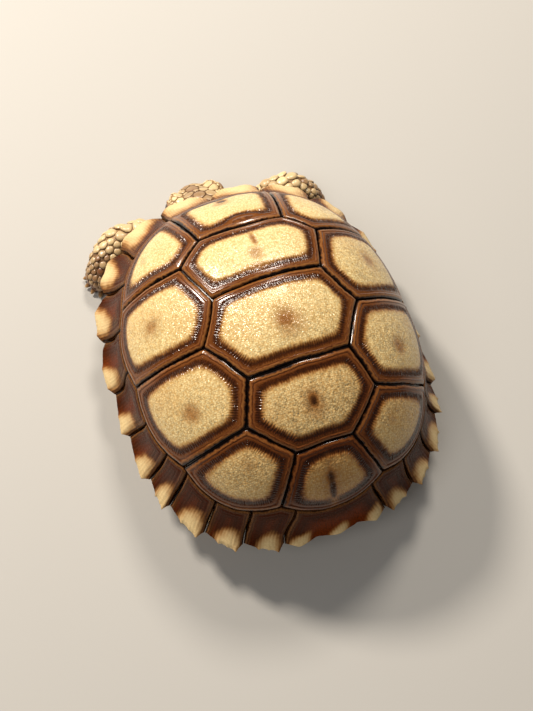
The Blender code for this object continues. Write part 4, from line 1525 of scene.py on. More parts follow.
@dataclass(frozen=True)
class Limb:
    """A limb or neck as a chain of balls, (centre, radius), from its root outwards."""

    name: str
    joints: tuple[tuple[Triple, float], ...]

    def balls(self, spacing: float = 0.7) -> list[tuple[Array, float]]:
        """Balls close enough to fuse into a smooth limb.

        Args:
            spacing: The most that they stand apart.

        Returns:
            Each ball's middle and radius.
        """
        found = []
        for (start, first), (end, second) in zip(self.joints, self.joints[1:]):
            step = np.subtract(end, start)
            count = max(2, math.ceil(float(np.linalg.norm(step)) / spacing))
            for i in range(count + 1):
                found.append((np.array(start) + step * i / count, first + (second - first) * i / count))
        return found

    def measure(self, points: Array) -> tuple[Array, Array, Array]:
        """For each point: how far outside the limb it is, how far along, and the direction there.

        Args:
            points: Points in space.

        Returns:
            The distances, the shares along the limb, and the directions.
        """
        centres = np.array([joint[0] for joint in self.joints])
        radii = np.array([joint[1] for joint in self.joints])
        best, run = np.full(len(points), np.inf), np.zeros(len(points))
        way = np.zeros((len(points), 3))
        lengths = np.linalg.norm(np.diff(centres, axis=0), axis=1)
        total = lengths.sum()
        for i, length in enumerate(lengths):
            step = centres[i + 1] - centres[i]
            share = np.clip(((points - centres[i]) * step).sum(1) / length**2, 0.0, 1.0)
            gap = np.linalg.norm(points - centres[i] - step * share[:, None], axis=1)
            gap -= radii[i] + (radii[i + 1] - radii[i]) * share
            closer = gap < best
            best = np.where(closer, gap, best)
            run = np.where(closer, (lengths[:i].sum() + share * length) / total, run)
            way[closer] = step / length
        return best, run, way


@dataclass
class HeadForm:
    """The head's own axes and the places of its features, in (forwards, left, up) from its centre."""

    centre: Array
    yaw: float = 6.0
    pitch: float = -22.0
    eye_radius: float = 1.65
    eye_place: Triple = (2.5, 4.3, 0.45)
    # Forms: forwards, left, up; radii forwards, left, up. One off the middle stands on both sides.
    forms: tuple[tuple[Triple, Triple], ...] = (
        ((-1.3, 0.0, 0.3), (5.7, 5.5, 4.0)),
        ((-2.6, 3.6, -0.5), (3.3, 2.6, 3.1)),
        ((2.2, 3.6, 1.45), (2.5, 1.9, 1.8)),
        ((3.0, 0.0, 0.1), (3.6, 3.9, 3.0)),
        ((4.3, 0.0, -0.7), (2.7, 3.0, 2.5)),
        ((1.8, 0.0, -2.4), (4.5, 4.3, 1.8)),
        ((2.5, 4.3, 0.45), (1.98, 1.98, 1.98)),
        ((1.7, 3.5, -0.2), (3.1, 2.2, 2.6)),
    )

    # The large shields of the crown, as forwards, left and width; one off the middle is on both sides
    shields: tuple[Triple, ...] = (
        (5.0, 0.85, 1.7), (3.0, 0.0, 2.5), (2.9, 2.75, 1.7), (4.6, 2.5, 1.2), (1.2, 1.75, 1.8),
        (0.9, 3.7, 1.5), (-0.6, 0.0, 2.2), (-1.0, 2.5, 2.0), (-2.6, 1.1, 1.8), (-2.7, 3.6, 1.6),
        (-4.3, 0.0, 1.5), (-4.4, 2.2, 1.5),
    )

    def shield_roots(self, points: Array) -> tuple[Array, Array]:
        """The skin's points under the crown's shields, and the shields' widths.

        Args:
            points: Points of the skin, in millimetres.

        Returns:
            The points' numbers, and the widths.
        """
        q = self.to_head(points)
        found, widths = [], []
        for forwards, left, width in self.shields:
            for side in Side if left else (Side.LEFT,):
                near = np.hypot(q[:, 0] - forwards, q[:, 1] - side.value * left) < 0.3
                found.append(int(np.argmax(np.where(near, q[:, 2], -np.inf))))
                widths.append(width)
        return np.array(found), np.array(widths)

    def axes(self) -> Array:
        """The head's axes as columns: forwards, left, up."""
        turn = Matrix.Rotation(math.radians(self.yaw), 3, "Z") @ Matrix.Rotation(
            math.radians(-self.pitch), 3, "X"
        )
        return np.array(turn @ Matrix(((0, 1, 0), (-1, 0, 0), (0, 0, 1))))

    def to_world(self, place: Array) -> Array:
        """Head coordinates as a place on the animal."""
        return self.centre + np.asarray(place) @ self.axes().T

    def to_head(self, points: Array) -> Array:
        """Places on the animal as head coordinates."""
        return (points - self.centre) @ self.axes()

    def eye_frame(self, side: Side) -> tuple[Array, Array]:
        """The eye's centre in head coordinates, and its axes as rows: outwards, towards the snout, up.

        Args:
            side: The side of the head.

        Returns:
            The centre and the axes.
        """
        forwards, left, up = self.eye_place
        centre = np.array([forwards, side.value * left, up])
        outwards, upright = unit(np.array([0.3, side.value * 0.92, 0.22])), np.array([0.12, 0.0, 1.0])
        rising = unit(upright - outwards * (upright @ outwards))
        snout = np.cross(rising, outwards) * side.value
        return centre, np.array([outwards, snout, rising])

    def shape(self, points: Array, normals: Array) -> tuple[Array, Array, Array, Array]:
        """Moves the skin's points into lids, mouth, nostrils and ear drums.

        Args:
            points: The skin's points on the animal.
            normals: Their normals.

        Returns:
            The moved points, how much each is horn of the beak, how much painted shade it takes in the
            mouth's line, the nostrils and the lid margins, and its place round the nearer eye: below 1
            between the lids, and above it on and round them.
        """
        q = self.to_head(points)
        n = normals @ self.axes()
        on_head = q[:, 0] > -6.0
        line = -1.5 - 0.25 * smooth_step(0.0, 4.5, q[:, 0]) + 0.42 * smooth_step(4.4, 6.6, q[:, 0])
        gape = smooth_step(-1.4, -0.6, q[:, 0]) * on_head
        over = q[:, 2] - line
        slit = bump_at(over, 0.0, 0.13) * gape
        # Painted shade along the mouth's line; the nostrils and the lid margins add theirs below
        hollow = bump_at(over, 0.0, 0.16) * gape
        q -= n * (0.34 * slit)[:, None]
        over = q[:, 2] - line
        upper = bump_at(over, 0.42, 0.24) * smooth_step(-1.0, 1.0, q[:, 0]) * on_head
        lower = bump_at(over, -0.4, 0.22) * smooth_step(-1.0, 1.0, q[:, 0]) * on_head
        q += n * (0.12 * upper + 0.05 * lower)[:, None]
        ridge = bump_at(q[:, 1], 0.0, 0.5) * smooth_step(5.0, 6.2, q[:, 0]) * (np.abs(q[:, 2] + 0.5) < 0.9)
        q += n * (0.1 * ridge)[:, None]
        lids = np.full(len(q), 9.0)
        for side in Side:
            nostril = np.linalg.norm(q - (6.35, side.value * 0.72, 0.35), axis=1)
            q -= n * (0.42 * bump_at(nostril, 0.0, 0.3) - 0.09 * bump_at(nostril, 0.5, 0.16))[:, None]
            hollow = np.maximum(hollow, bump_at(nostril, 0.0, 0.26))
            drum = np.linalg.norm(q - (-3.0, side.value * 5.9, -1.3), axis=1)
            q -= n * (0.16 * (1 - smooth_step(0.9, 1.25, drum)) - 0.1 * bump_at(drum, 1.45, 0.22))[:, None]
            centre, axes = self.eye_frame(side)
            away = (q - centre) @ axes.T
            reach = np.linalg.norm(away, axis=1)
            facing = away / np.maximum(reach, 1e-6)[:, None] * self.eye_radius
            almond = np.hypot(
                (facing[:, 1] + 0.05) / 1.28, facing[:, 2] / np.where(facing[:, 2] > 0, 0.94, 0.86)
            )
            lid = self.eye_radius + 0.15 + 0.12 * bump_at(almond, 1.15, 0.12)
            lid -= 0.08 * bump_at(almond, 1.38, 0.07)
            wanted = np.where(almond < 1.0, self.eye_radius - 0.4, lid)
            wanted += (lid - wanted) * smooth_step(0.93, 1.05, almond)
            pull = 1 - smooth_step(self.eye_radius + 0.4, self.eye_radius + 1.1, reach)
            pull *= smooth_step(0.2, 0.9, facing[:, 0])
            pull = np.where(almond < 1.0, np.maximum(pull, facing[:, 0] > 0.4), pull)
            moved = away * (1 + (wanted / np.maximum(reach, 1e-6) - 1) * pull)[:, None]
            q = np.where((reach < 4.0)[:, None], centre + moved @ axes, q)
            seen = (reach < 3.0) & (facing[:, 0] > 0.1)
            lids = np.where(seen, np.minimum(lids, almond), lids)
            hollow = np.maximum(hollow, 0.85 * bump_at(almond, 1.0, 0.1) * seen)
        forwards, up = q[:, 0], q[:, 2]
        horn = smooth_step(4.1, 4.9, forwards + 0.35 * np.abs(up + 1.2)) * (up < 0.85) * (up > -3.6)
        horn = np.maximum(horn, smooth_step(0.75, 0.35, np.abs(up - line)) * smooth_step(0.5, 1.5, forwards))
        return self.to_world(q), horn * on_head, hollow, lids


@dataclass
class Flesh:
    """The skin in one piece, its scales, the eyes and the claws."""

    shift: float
    voxel: float = 0.31
    coat_depth: float = 0.2
    head_centre: Triple = (0.8, -33.2, 6.5)
    trunk_front: float = -19.0
    trunk_rear: float = 15.5
    # The body inside the shell: each form's middle and radii. One off the middle stands on both sides.
    body: tuple[tuple[Triple, Triple], ...] = (
        ((0.0, -1.2, 8.4), (18.3, 21.2, 6.0)), ((9.2, -8.5, 8.2), (10.6, 10.3, 5.4)),
        ((9.2, 6.5, 8.2), (10.6, 9.6, 5.4)), ((5.5, 8.8, 5.2), (9.5, 6.5, 3.3)),
        ((5.5, -12.3, 5.2), (9.0, 6.5, 3.3)),
    )
    front_left: tuple = (
        ((11.8, -19.0, 6.9), 3.6), ((12.8, -25.0, 6.2), 3.9), ((13.4, -30.6, 5.6), 4.0),
        ((17.2, -31.0, 5.0), 3.8), ((20.0, -29.3, 4.0), 3.5), ((21.3, -28.1, 2.4), 3.4),
    )
    front_right: tuple = (
        ((-11.8, -19.0, 6.9), 3.6), ((-12.8, -25.4, 6.2), 3.9), ((-13.1, -31.4, 5.6), 4.0),
        ((-16.6, -32.2, 5.0), 3.8), ((-19.0, -31.2, 4.0), 3.5), ((-20.1, -30.2, 2.4), 3.4),
    )
    hind: tuple = (
        ((11.8, 15.5, 6.0), 3.4), ((15.0, 18.6, 5.9), 3.7), ((15.0, 21.2, 4.6), 3.6),
        ((14.6, 21.8, 2.4), 3.4),
    )
    tail: tuple = (
        ((0.0, 15.5, 6.0), 2.7), ((0.3, 21.5, 5.2), 2.3), ((1.2, 25.8, 4.2), 1.4), ((2.6, 28.2, 3.2), 0.7)
    )
    nodes: tuple[str, ...] = (
        "head", "neck", "trunk", "tail", "leg_front_left", "leg_front_right", "leg_hind_left",
        "leg_hind_right",
    )
    limbs: list[Limb] = field(default_factory=list)

    def moved(self, joints: tuple, mirror: float = 1.0) -> tuple:
        """Joints in the frame's own place, mirrored or not."""
        return tuple(((mirror * x, y + self.shift, z), radius) for (x, y, z), radius in joints)

    def __post_init__(self) -> None:
        """Works out the head's place and the limbs."""
        self.head = HeadForm(np.array(self.head_centre) + (0.0, self.shift, 0.0))
        back = self.head.to_world((-4.0, 0.0, -0.1))
        neck = (((0.4, -18.0, 7.2), 4.3), ((0.8, -24.5, 7.0), 4.1))
        self.limbs = [
            Limb("neck", self.moved(neck) + ((tuple(back), 3.9),)),
            Limb("front_left", self.moved(self.front_left)),
            Limb("front_right", self.moved(self.front_right)), Limb("hind_left", self.moved(self.hind)),
            Limb("hind_right", self.moved(self.hind, -1.0)), Limb("tail", self.moved(self.tail)),
        ]

    def fused(self) -> Object:
        """The overlapping forms of the body as one smooth object of small even faces.

        Returns:
            The object.
        """
        bm = bmesh.new()

        def ball(centre: Array, radii: Triple, turn: Matrix | None = None) -> None:
            """Adds an ellipsoid."""
            size = Matrix.Diagonal((*(radius * MM for radius in radii), 1.0))
            place = Matrix.Translation(Vector(centre) * MM) @ (turn or Matrix()) @ size
            bmesh.ops.create_icosphere(bm, subdivisions=3, radius=1.0, matrix=place)

        turn = Matrix(self.head.axes().tolist()).to_4x4()
        for (forwards, left, up), radii in self.head.forms:
            for side in Side if left else (Side.LEFT,):
                ball(self.head.to_world((forwards, side.value * left, up)), radii, turn)
        for limb in self.limbs:
            for centre, radius in limb.balls():
                ball(centre, (radius, radius, radius))
        for middle, radii in self.body:
            for side in Side if middle[0] else (Side.LEFT,):
                ball(np.array(middle) * (side.value, 1.0, 1.0) + (0.0, self.shift, 0.0), radii)
        mesh = bpy.data.meshes.new("skin")
        bm.to_mesh(mesh)
        bm.free()
        rough = new_object("skin_rough", mesh)
        remesh = rough.modifiers.new("fuse", "REMESH")
        remesh.mode, remesh.voxel_size = "VOXEL", self.voxel * MM
        smooth = rough.modifiers.new("smooth", "SMOOTH")
        smooth.factor, smooth.iterations = 0.5, 8
        fused = bpy.data.meshes.new_from_object(rough.evaluated_get(bpy.context.evaluated_depsgraph_get()))
        bpy.data.objects.remove(rough)
        bm = bmesh.new()
        bm.from_mesh(fused)
        limit = (self.head.centre[1] + 4.2) * MM
        fine = [
            edge for edge in bm.edges
            if all(v.co.y < limit and abs(v.co.x) < 7.5 * MM for v in edge.verts)
        ]
        bmesh.ops.subdivide_edges(bm, edges=fine, cuts=1, use_grid_fill=True)
        bmesh.ops.triangulate(bm, faces=bm.faces)
        bm.to_mesh(fused)
        bm.free()
        return new_object("skin", fused)

    def read(self, mesh: Mesh) -> tuple[Array, Array]:
        """The mesh's points in millimetres and their normals.

        Args:
            mesh: The mesh.

        Returns:
            The points and the normals.
        """
        return fetch(mesh.vertices, "co", 3) / MM, fetch(mesh.vertex_normals, "vector", 3)

    def regions(self, points: Array) -> tuple[Array, Array, Array]:
        """For each point: the number of its part, how far along it is, and which way that part runs.

        Args:
            points: Points of the skin, in millimetres.

        Returns:
            The numbers, the shares along the limbs, and the directions.
        """
        gaps, runs, ways = zip(*(limb.measure(points) for limb in self.limbs))
        number = np.argmin(np.array(gaps), axis=0)
        row = np.arange(len(points))
        on_head = (self.head.to_head(points)[:, 0] > -5.0) & (
            np.abs(points[:, 0] - self.head.centre[0]) < 8.0
        )
        number = np.where(on_head, HEAD, number)
        run, way = np.array(runs)[number, row], np.array(ways)[number, row]
        way[on_head] = -self.head.axes()[:, 0]
        return number, run, way

    def creases(self, points: Array, number: Array, run: Array) -> Array:
        """How far the skin sinks into its folds and creases.

        Args:
            points: Points of the skin, in millimetres.
            number: The number of the part that each point lies on.
            run: How far along its limb each point is.

        Returns:
            A depth in millimetres for each point.
        """
        wave = np.sin(points @ (0.9, 1.1, 2.3) + 1.3 * np.sin(points @ (1.7, -0.6, 0.8)))
        neck = (number == NECK) * 0.22 * (0.5 + 0.5 * np.sin(run * 38.0 + 0.8 * wave))
        roots = (number > NECK) * (run < 0.45) * 0.16 * (0.5 + 0.5 * np.sin(run * 60.0 + wave))
        return neck + roots + 0.04 * wave

    def tones(self, points: Array, number: Array, run: Array) -> Array:
        """The tones that skin and scales share, 1 for pale and 0 for dark: markings, and painted shade on the
        legs near the floor.

        Args:
            points: Points of the skin, in millimetres.
            number: The number of the part that each point lies on.
            run: How far along its limb each point is.

        Returns:
            A tone for each point.
        """
        q = self.head.to_head(points)
        patch = 0.5 + 0.5 * np.sin(points @ (0.55, 0.8, 1.1) + 2.0 * np.sin(points @ (-0.35, 0.6, 0.4)))
        tone = 0.62 + 0.3 * patch
        on_legs, on_front = np.isin(number, FRONT_LEGS + HIND_LEGS), np.isin(number, FRONT_LEGS)
        # Legs darker near the floor, which is painted shade; front feet darker towards their ends
        tone = np.where(on_legs, tone - 0.75 * smooth_step(3.4, 1.0, points[:, 2]), tone)
        tone = np.where(on_front, tone - 0.45 * smooth_step(0.7, 0.95, run), tone)
        crown = bump_at(q[:, 1], 0.0, 2.6) * smooth_step(1.0, 2.6, q[:, 2])
        brow = bump_at(np.abs(q[:, 1]), 3.8, 1.4) * smooth_step(1.2, 2.4, q[:, 2])
        tone = np.where(number == HEAD, 0.62 - 0.35 * crown + 0.4 * brow + 0.12 * patch, tone)
        return np.clip(tone, 0.0, 1.0)

    def spacing(self, points: Array, normals: Array, number: Array, run: Array) -> Array:
        """The distance between scales, in millimetres, or 0 where there are none.

        Args:
            points: Points of the skin, in millimetres.
            normals: Their normals.
            number: The number of the part that each point lies on.
            run: How far along its limb each point is.

        Returns:
            A spacing for each point.
        """
        q = self.head.to_head(points)
        outer = np.clip(normals @ (0.0, -0.75, 0.66), 0.0, 1.0)
        size = np.full(len(points), 0.62)
        front, back = np.isin(number, FRONT_LEGS), np.isin(number, HIND_LEGS)
        mid_leg = smooth_step(0.2, 0.45, run) * (1 - smooth_step(0.75, 0.95, run))
        size = np.where(front, 0.82 + 0.75 * outer * mid_leg, size)
        rear = np.clip(normals @ (0.0, 0.8, 0.3), 0.0, 1.0)
        size = np.where(back, 0.8 + 0.45 * rear, size)
        size = np.where(number == NECK, 0.55, size)
        top = smooth_step(1.6, 2.6, q[:, 2]) * smooth_step(-4.5, -1.0, q[:, 0])
        size = np.where(number == HEAD, 0.6 + 0.35 * top, size)
        along = points[:, 1] - self.shift
        hidden = (along > self.trunk_front - 1.5) & (along < self.trunk_rear + 0.5)
        return np.where(hidden, 0.0, size)

    def make(self) -> None:
        """Builds the skin, its coat of scales, the eyes and the claws."""
        skin = self.fused()
        mesh = skin.data
        points, normals = self.read(mesh)
        number, run, way = self.regions(points)
        shaped, horn, hollow, lids = self.head.shape(points, normals)
        sink = self.coat_depth * (1 - horn) + self.creases(points, number, run) * (number != HEAD)
        near_eye = np.min(
            [
                np.linalg.norm(points - self.head.to_world(self.head.eye_frame(side)[0]), axis=1)
                for side in Side
            ],
            axis=0,
        )
        sink *= smooth_step(2.0, 3.4, near_eye)
        shaped -= normals * sink[:, None]
        shaped[:, 2] = np.maximum(shaped[:, 2], 0.0)
        store(mesh.vertices, "co", shaped * MM)
        mesh.update()
        tone = self.tones(points, number, run)
        for label, numbers in (("tone", tone), ("horn", horn), ("hollow", hollow)):
            store(mesh.attributes.new(label, "FLOAT", "POINT").data, "value", numbers)
        mesh.shade_smooth()
        mesh.materials.append(TortoiseSkin().make())
        hand_over(skin, "skin", *self.nodes)
        unwrap = self.unwrap(skin)
        ScaleCoat(self).make(skin, shaped, number, run, way, tone, horn, lids, unwrap)
        self.make_eyes()
        self.make_claws()

    def unwrap(self, skin: Object) -> Array:
        """Unwraps the skin by its own shape, and gives each point a place on that unwrap.

        Args:
            skin: The skin.

        Returns:
            A place for each point.
        """
        bpy.context.view_layer.objects.active = skin
        skin.select_set(True)
        bpy.ops.object.mode_set(mode="EDIT")
        bpy.ops.mesh.select_all(action="SELECT")
        bpy.ops.uv.smart_project(angle_limit=math.radians(66), island_margin=0.002)
        bpy.ops.object.mode_set(mode="OBJECT")
        skin.select_set(False)
        mesh = skin.data
        layer = mesh.uv_layers[0]
        layer.name = "OFBake"
        owners = np.empty(len(mesh.loops), np.int32)
        mesh.loops.foreach_get("vertex_index", owners)
        places = np.zeros((len(mesh.vertices), 2))
        places[owners] = fetch(layer.data, "uv", 2)
        return places

    def make_eyes(self) -> None:
        """The two eyeballs, a little fuller at the cornea."""
        finish = EyeGloss().make()
        for side in Side:
            centre, axes = self.head.eye_frame(side)
            rings, spokes, cornea = 31, 48, 0.035
            polar = np.linspace(0.0, math.pi, rings + 2)[1:-1]
            turns = np.linspace(0.0, math.tau, spokes, endpoint=False)
            swell = self.head.eye_radius * (1 + cornea * np.exp(-((polar / 0.55) ** 2)))
            ahead, aside = np.repeat((swell * np.cos(polar))[:, None], spokes, axis=1), swell * np.sin(polar)
            local = np.stack([ahead, np.outer(aside, np.cos(turns)), np.outer(aside, np.sin(turns))], axis=-1)
            poles = [(self.head.eye_radius * (1 + cornea), 0.0, 0.0), (-self.head.eye_radius, 0.0, 0.0)]
            local = np.vstack([local.reshape(-1, 3), poles])
            off_axis = np.arccos(np.clip(local[:, 0] / np.linalg.norm(local, axis=1), -1, 1)) / 1.2
            world, ball = self.head.to_world(centre + local @ axes), triangles_of_tube(rings, spokes)
            piece = make_piece(f"eyeball_{side.word}", world, ball, finish, off_axis=off_axis)
            hand_over(piece, "eye", f"eye_{side.word}")

    @staticmethod
    def spike(
        base: Array, out: Array, length: float, radius: float, droop: float
    ) -> tuple[Array, Array, Array]:
        """A blunt curved cone of horn.

        Args:
            base: The middle of its root.
            out: The direction in which it grows.
            length: Its length.
            radius: Its root's radius.
            droop: How far its point sinks.

        Returns:
            Its points, its triangles, and how far along it each point is.
        """
        aside = np.array([-out[1], out[0], 0.0]) / math.hypot(out[0], out[1])
        upright = np.cross(out, aside)
        spokes, shares = 14, np.linspace(0.0, 1.0, 9)
        turns = np.linspace(0.0, math.tau, spokes, endpoint=False)
        rings = []
        for share in shares:
            reach = radius * math.sqrt(max(0.0, 1 - share**1.7)) + 0.015
            middle = base + out * (share * length - 0.3) - upright * droop * share**1.8
            rings.append(
                middle + reach * (np.outer(np.cos(turns), aside) + 0.85 * np.outer(np.sin(turns), upright))
            )
        block = np.vstack(rings + [rings[0].mean(axis=0), rings[-1].mean(axis=0) + out * 0.02])
        run = np.concatenate([np.repeat(shares, spokes), [0.0, 1.0]])
        return block, triangles_of_tube(len(shares), spokes), run

    def spikes(
        self, name: str, plan: list[tuple[Array, Array, float, float, float]], finish: Material
    ) -> None:
        """Several spikes as one piece that stands clear of the floor.

        Args:
            name: The piece's name.
            plan: Each spike's root, direction, length, radius and droop.
            finish: The material.
        """
        points, triangles, reaches, start = [], [], [], 0
        for base, out, length, radius, droop in plan:
            block, faces, reach = self.spike(base, out, length, radius, droop)
            block[:, 2] = np.maximum(block[:, 2], 0.02)
            points.append(block)
            triangles.append(faces + start)
            reaches.append(reach)
            start += len(block)
        piece = make_piece(
            name, np.vstack(points), np.vstack(triangles), finish, reach=np.concatenate(reaches)
        )
        hand_over(piece, "skin")

    def make_claws(self) -> None:
        """Five claws on each front foot, four on each hind foot, and three spurs on each thigh."""
        finish = ClawHorn().make()
        feet = ((8.0, 104.0, 5, 1.75), (172.0, 104.0, 5, 1.75), (5.0, 84.0, 4, 1.65), (175.0, 84.0, 4, 1.65))
        for limb, (facing, spread, count, length) in zip(self.limbs[1:5], feet):
            foot = np.array(limb.joints[-1][0])
            plan = []
            for i in range(count):
                angle = math.radians(facing + spread * (i / (count - 1) - 0.5))
                out = np.array([math.cos(angle), math.sin(angle), 0.0])
                plan.append((np.array([foot[0], foot[1], 1.05]) + out * 2.6, out, length, 0.58, 0.5))
            self.spikes(f"claws_{limb.name}", plan, finish)
        for limb, side in zip(self.limbs[3:5], Side):
            thigh, radius = np.array(limb.joints[1][0]), limb.joints[1][1]
            plan = []
            for across, rise, length in ((-0.42, -0.05, 1.5), (-0.05, -0.3, 1.3), (-0.6, -0.45, 1.1)):
                out = unit(np.array([side.value * across, 1.0, rise]))
                plan.append((thigh + out * (radius - 0.15), out, length, 0.62, 0.3))
            self.spikes(f"spurs_{side.word}", plan, finish)


@dataclass
class ScaleCoat:
    """The scales: solid little plates in rows over the skin, each lying along the limb."""

    flesh: Flesh
    patch: float = 0.003
    seed: int = 11
    cover: float = 0.98
    overlap: float = 0.08
    sectors: int = 20

    def template(self, spokes: int) -> Object:
        """One scale of unit radius and height as a closed plate with few faces, its free end at +x.

        Args:
            spokes: How many sides its outline has.

        Returns:
            The scale.
        """
        turns = np.linspace(0.0, math.tau, spokes, endpoint=False)
        rings = [
            np.column_stack([np.cos(turns) * share, np.sin(turns) * share, np.full(spokes, rise)])
            for share, rise in ((0.8, -0.7), (1.0, 0.0), (0.86, 0.62), (0.45, 0.94))
        ]
        points = np.vstack(rings + [np.array([(0.0, 0.0, -0.7), (0.0, 0.0, 1.0)])])
        crown = np.concatenate([np.zeros(2 * spokes), np.full(spokes, 0.6), np.ones(spokes), [0.0, 1.0]])
        horn = bpy.data.materials["scale_horn"]
        piece = make_piece("scale", points / MM, triangles_of_tube(len(rings), spokes), horn, crown=crown)
        leaf = piece.data.attributes.new("leaf", "FLOAT_VECTOR", "POINT")
        store(leaf.data, "vector", fetch(piece.data.vertices, "co", 3))
        return piece

    def fitted(
        self, roots: Array, ahead: Array, aside: Array, size: Array, crowd: tuple[Array, Array]
    ) -> Array:
        """Each scale's radius in even directions, fitted between its neighbours so that they tile the
        skin.

        Args:
            roots: Where the scales grow.
            ahead: The way each lies.
            aside: The way across it.
            size: Each scale's length.
            crowd: Every scale's root and size.

        Returns:
            A row of radii for each scale.
        """
        others, sizes = crowd
        tree = kdtree.KDTree(len(others))
        for number, place in enumerate(others.tolist()):
            tree.insert(place, number)
        tree.balance()
        turns = np.linspace(0.0, math.tau, self.sectors, endpoint=False)
        radii = np.repeat(0.78 * size[:, None], len(turns), axis=1)
        for i, place in enumerate(roots):
            for near, number, distance in tree.find_range(place, 1.2 * float(size[i]) + 1.0):
                if distance < 1e-4:
                    continue
                away = np.array(near) - place
                x, y = away @ ahead[i], away @ aside[i]
                line = distance * size[i] / (size[i] + sizes[number])
                slope = np.cos(turns - math.atan2(y, x))
                radii[i] = np.where(
                    slope > 0.12, np.minimum(radii[i], line / np.maximum(slope, 0.12)), radii[i]
                )
        return self.cover * eased_ring(radii, axis=1) * (1 + self.overlap * np.cos(turns))

    def tree(self) -> NodeTree:
        """The node tree that lays a scale on every root and gives it its patch of the unwrap.

        Returns:
            The tree.
        """
        tree = bpy.data.node_groups.new("lay_scales", "GeometryNodeTree")
        for label, kind, way in (
            ("Roots", "NodeSocketGeometry", "INPUT"), ("Scale", "NodeSocketObject", "INPUT"),
            ("Patch", "NodeSocketFloat", "INPUT"), ("Finish", "NodeSocketMaterial", "INPUT"),
            ("Scales", "NodeSocketGeometry", "OUTPUT"),
        ):
            tree.interface.new_socket(label, in_out=way, socket_type=kind)
        node = partial(add_node, tree)
        given = node("NodeGroupInput").outputs
        turn, size, leaf, root = (
            node("GeometryNodeInputNamedAttribute", {"Name": label}, data_type="FLOAT_VECTOR")
            for label in ("turn", "size", "leaf", "root")
        )
        scale = node("GeometryNodeObjectInfo", {"Object": given["Scale"]}).outputs["Geometry"]
        laid = node(
            "GeometryNodeInstanceOnPoints",
            {"Points": given["Roots"], "Instance": scale, "Rotation": turn, "Scale": size},
        )
        real = node("GeometryNodeRealizeInstances", (laid,))
        patch = node("VectorMath", (leaf, given["Patch"]), "SCALE")
        mapped = node(
            "GeometryNodeStoreNamedAttribute",
            {"Geometry": real, "Name": "OFBake", "Value": node("VectorMath", (root, patch), "ADD")},
            data_type="FLOAT2", domain="CORNER",
        )
        dressed = node("GeometryNodeSetMaterial", {"Geometry": mapped, "Material": given["Finish"]})
        node("NodeGroupOutput", {"Scales": dressed})
        return tree

    def choose(self, points: Array, spacing: Array, fixed: Array) -> Array:
        """Roots spread evenly over the skin round the fixed ones, no two closer than their spacing.

        Args:
            points: Points of the skin, in millimetres.
            spacing: The spacing at each, or 0 for none.
            fixed: Points that are roots already.

        Returns:
            The roots' numbers, the fixed ones first.
        """
        order = np.random.default_rng(self.seed).permutation(np.flatnonzero(spacing > 0))
        order = order[np.argsort(-np.round(spacing[order], 1), kind="stable")]
        tree = kdtree.KDTree(len(order))
        for i in order:
            tree.insert(points[i], int(i))
        tree.balance()
        is_open = np.ones(len(points), bool)
        chosen = [int(i) for i in fixed]
        for i in chosen:
            for _, other, _ in tree.find_range(points[i], 0.55 * float(spacing[i]) + 0.3):
                is_open[other] = False
        for i in order:
            if is_open[i]:
                chosen.append(i)
                for _, other, _ in tree.find_range(points[i], float(spacing[i])):
                    is_open[other] = False
        return np.array(chosen)

    def lay(
        self, name: str, roots: Array, facing: Array, lie: Array, size: Array, tone: Array, unwrap: Array,
        scale: Object, group: NodeTree, crowd: tuple[Array, Array], form: Triple,
        surface: BVHTree,
    ) -> None:
        """Lays one kind of scale on its roots and makes the result a plain mesh.

        Args:
            name: The piece's name.
            roots: Where the scales grow, in millimetres.
            facing: The skin's normals there.
            lie: Which way the scales lie.
            size: Each scale's length in millimetres.
            tone: Each scale's tone.
            unwrap: Each root's place on the skin's unwrap.
            scale: The scale to repeat.
            group: The node tree.
            crowd: Every scale's root and size, which each outline is fitted between.
            form: The scales' height and how far their crowns lean to the free end, as shares of their size,
                and how steeply the free end rises.
            surface: The skin.
        """
        mesh = bpy.data.meshes.new(name)
        mesh.vertices.add(len(roots))
        store(mesh.vertices, "co", roots * MM)
        ahead = unit(lie - facing * (lie * facing).sum(1, keepdims=True))
        aside = np.cross(facing, ahead)
        turns = [Matrix(np.column_stack(axes).tolist()).to_euler() for axes in zip(ahead, aside, facing)]
        outline = self.fitted(roots, ahead, aside, size, crowd)
        flat = np.column_stack([unwrap, np.zeros(len(roots))])
        for label, kind, key, numbers in (
            ("turn", "FLOAT_VECTOR", "vector", np.array([tuple(turn) for turn in turns])),
            ("size", "FLOAT_VECTOR", "vector", np.repeat(size[:, None] * MM, 3, axis=1)),
            ("root", "FLOAT_VECTOR", "vector", flat),
            ("tone", "FLOAT", "value", tone),
        ):
            store(mesh.attributes.new(label, kind, "POINT").data, key, numbers)
        source = new_object(name + "_roots", mesh)
        modifier = source.modifiers.new("scales", "NODES")
        modifier.node_group = group
        keys = {item.name: item.identifier for item in group.interface.items_tree if item.in_out == "INPUT"}
        for label, value in (
            ("Scale", scale), ("Patch", self.patch), ("Finish", bpy.data.materials["scale_horn"])
        ):
            modifier[keys[label]] = value
        made = bpy.data.meshes.new_from_object(source.evaluated_get(bpy.context.evaluated_depsgraph_get()))
        bpy.data.objects.remove(source)
        made.name = name
        local = fetch(made.attributes["leaf"].data, "vector", 3).reshape(len(roots), -1, 3)
        angle = np.arctan2(local[..., 1], local[..., 0]) % math.tau
        spokes = outline.shape[1]
        part = angle / math.tau * spokes
        first = np.floor(part + 1e-6).astype(int)
        row = np.arange(len(roots))[:, None]
        share = np.clip(part - first, 0.0, 1.0)
        reach = outline[row, first % spokes] * (1 - share) + outline[row, (first + 1) % spokes] * share
        spread = reach * np.hypot(local[..., 0], local[..., 1])
        height, lean, tilt = form
        ahead_by = spread * np.cos(angle) + lean * size[:, None] * (
            1 - np.hypot(local[..., 0], local[..., 1])
        )
        aside_by = spread * np.sin(angle)
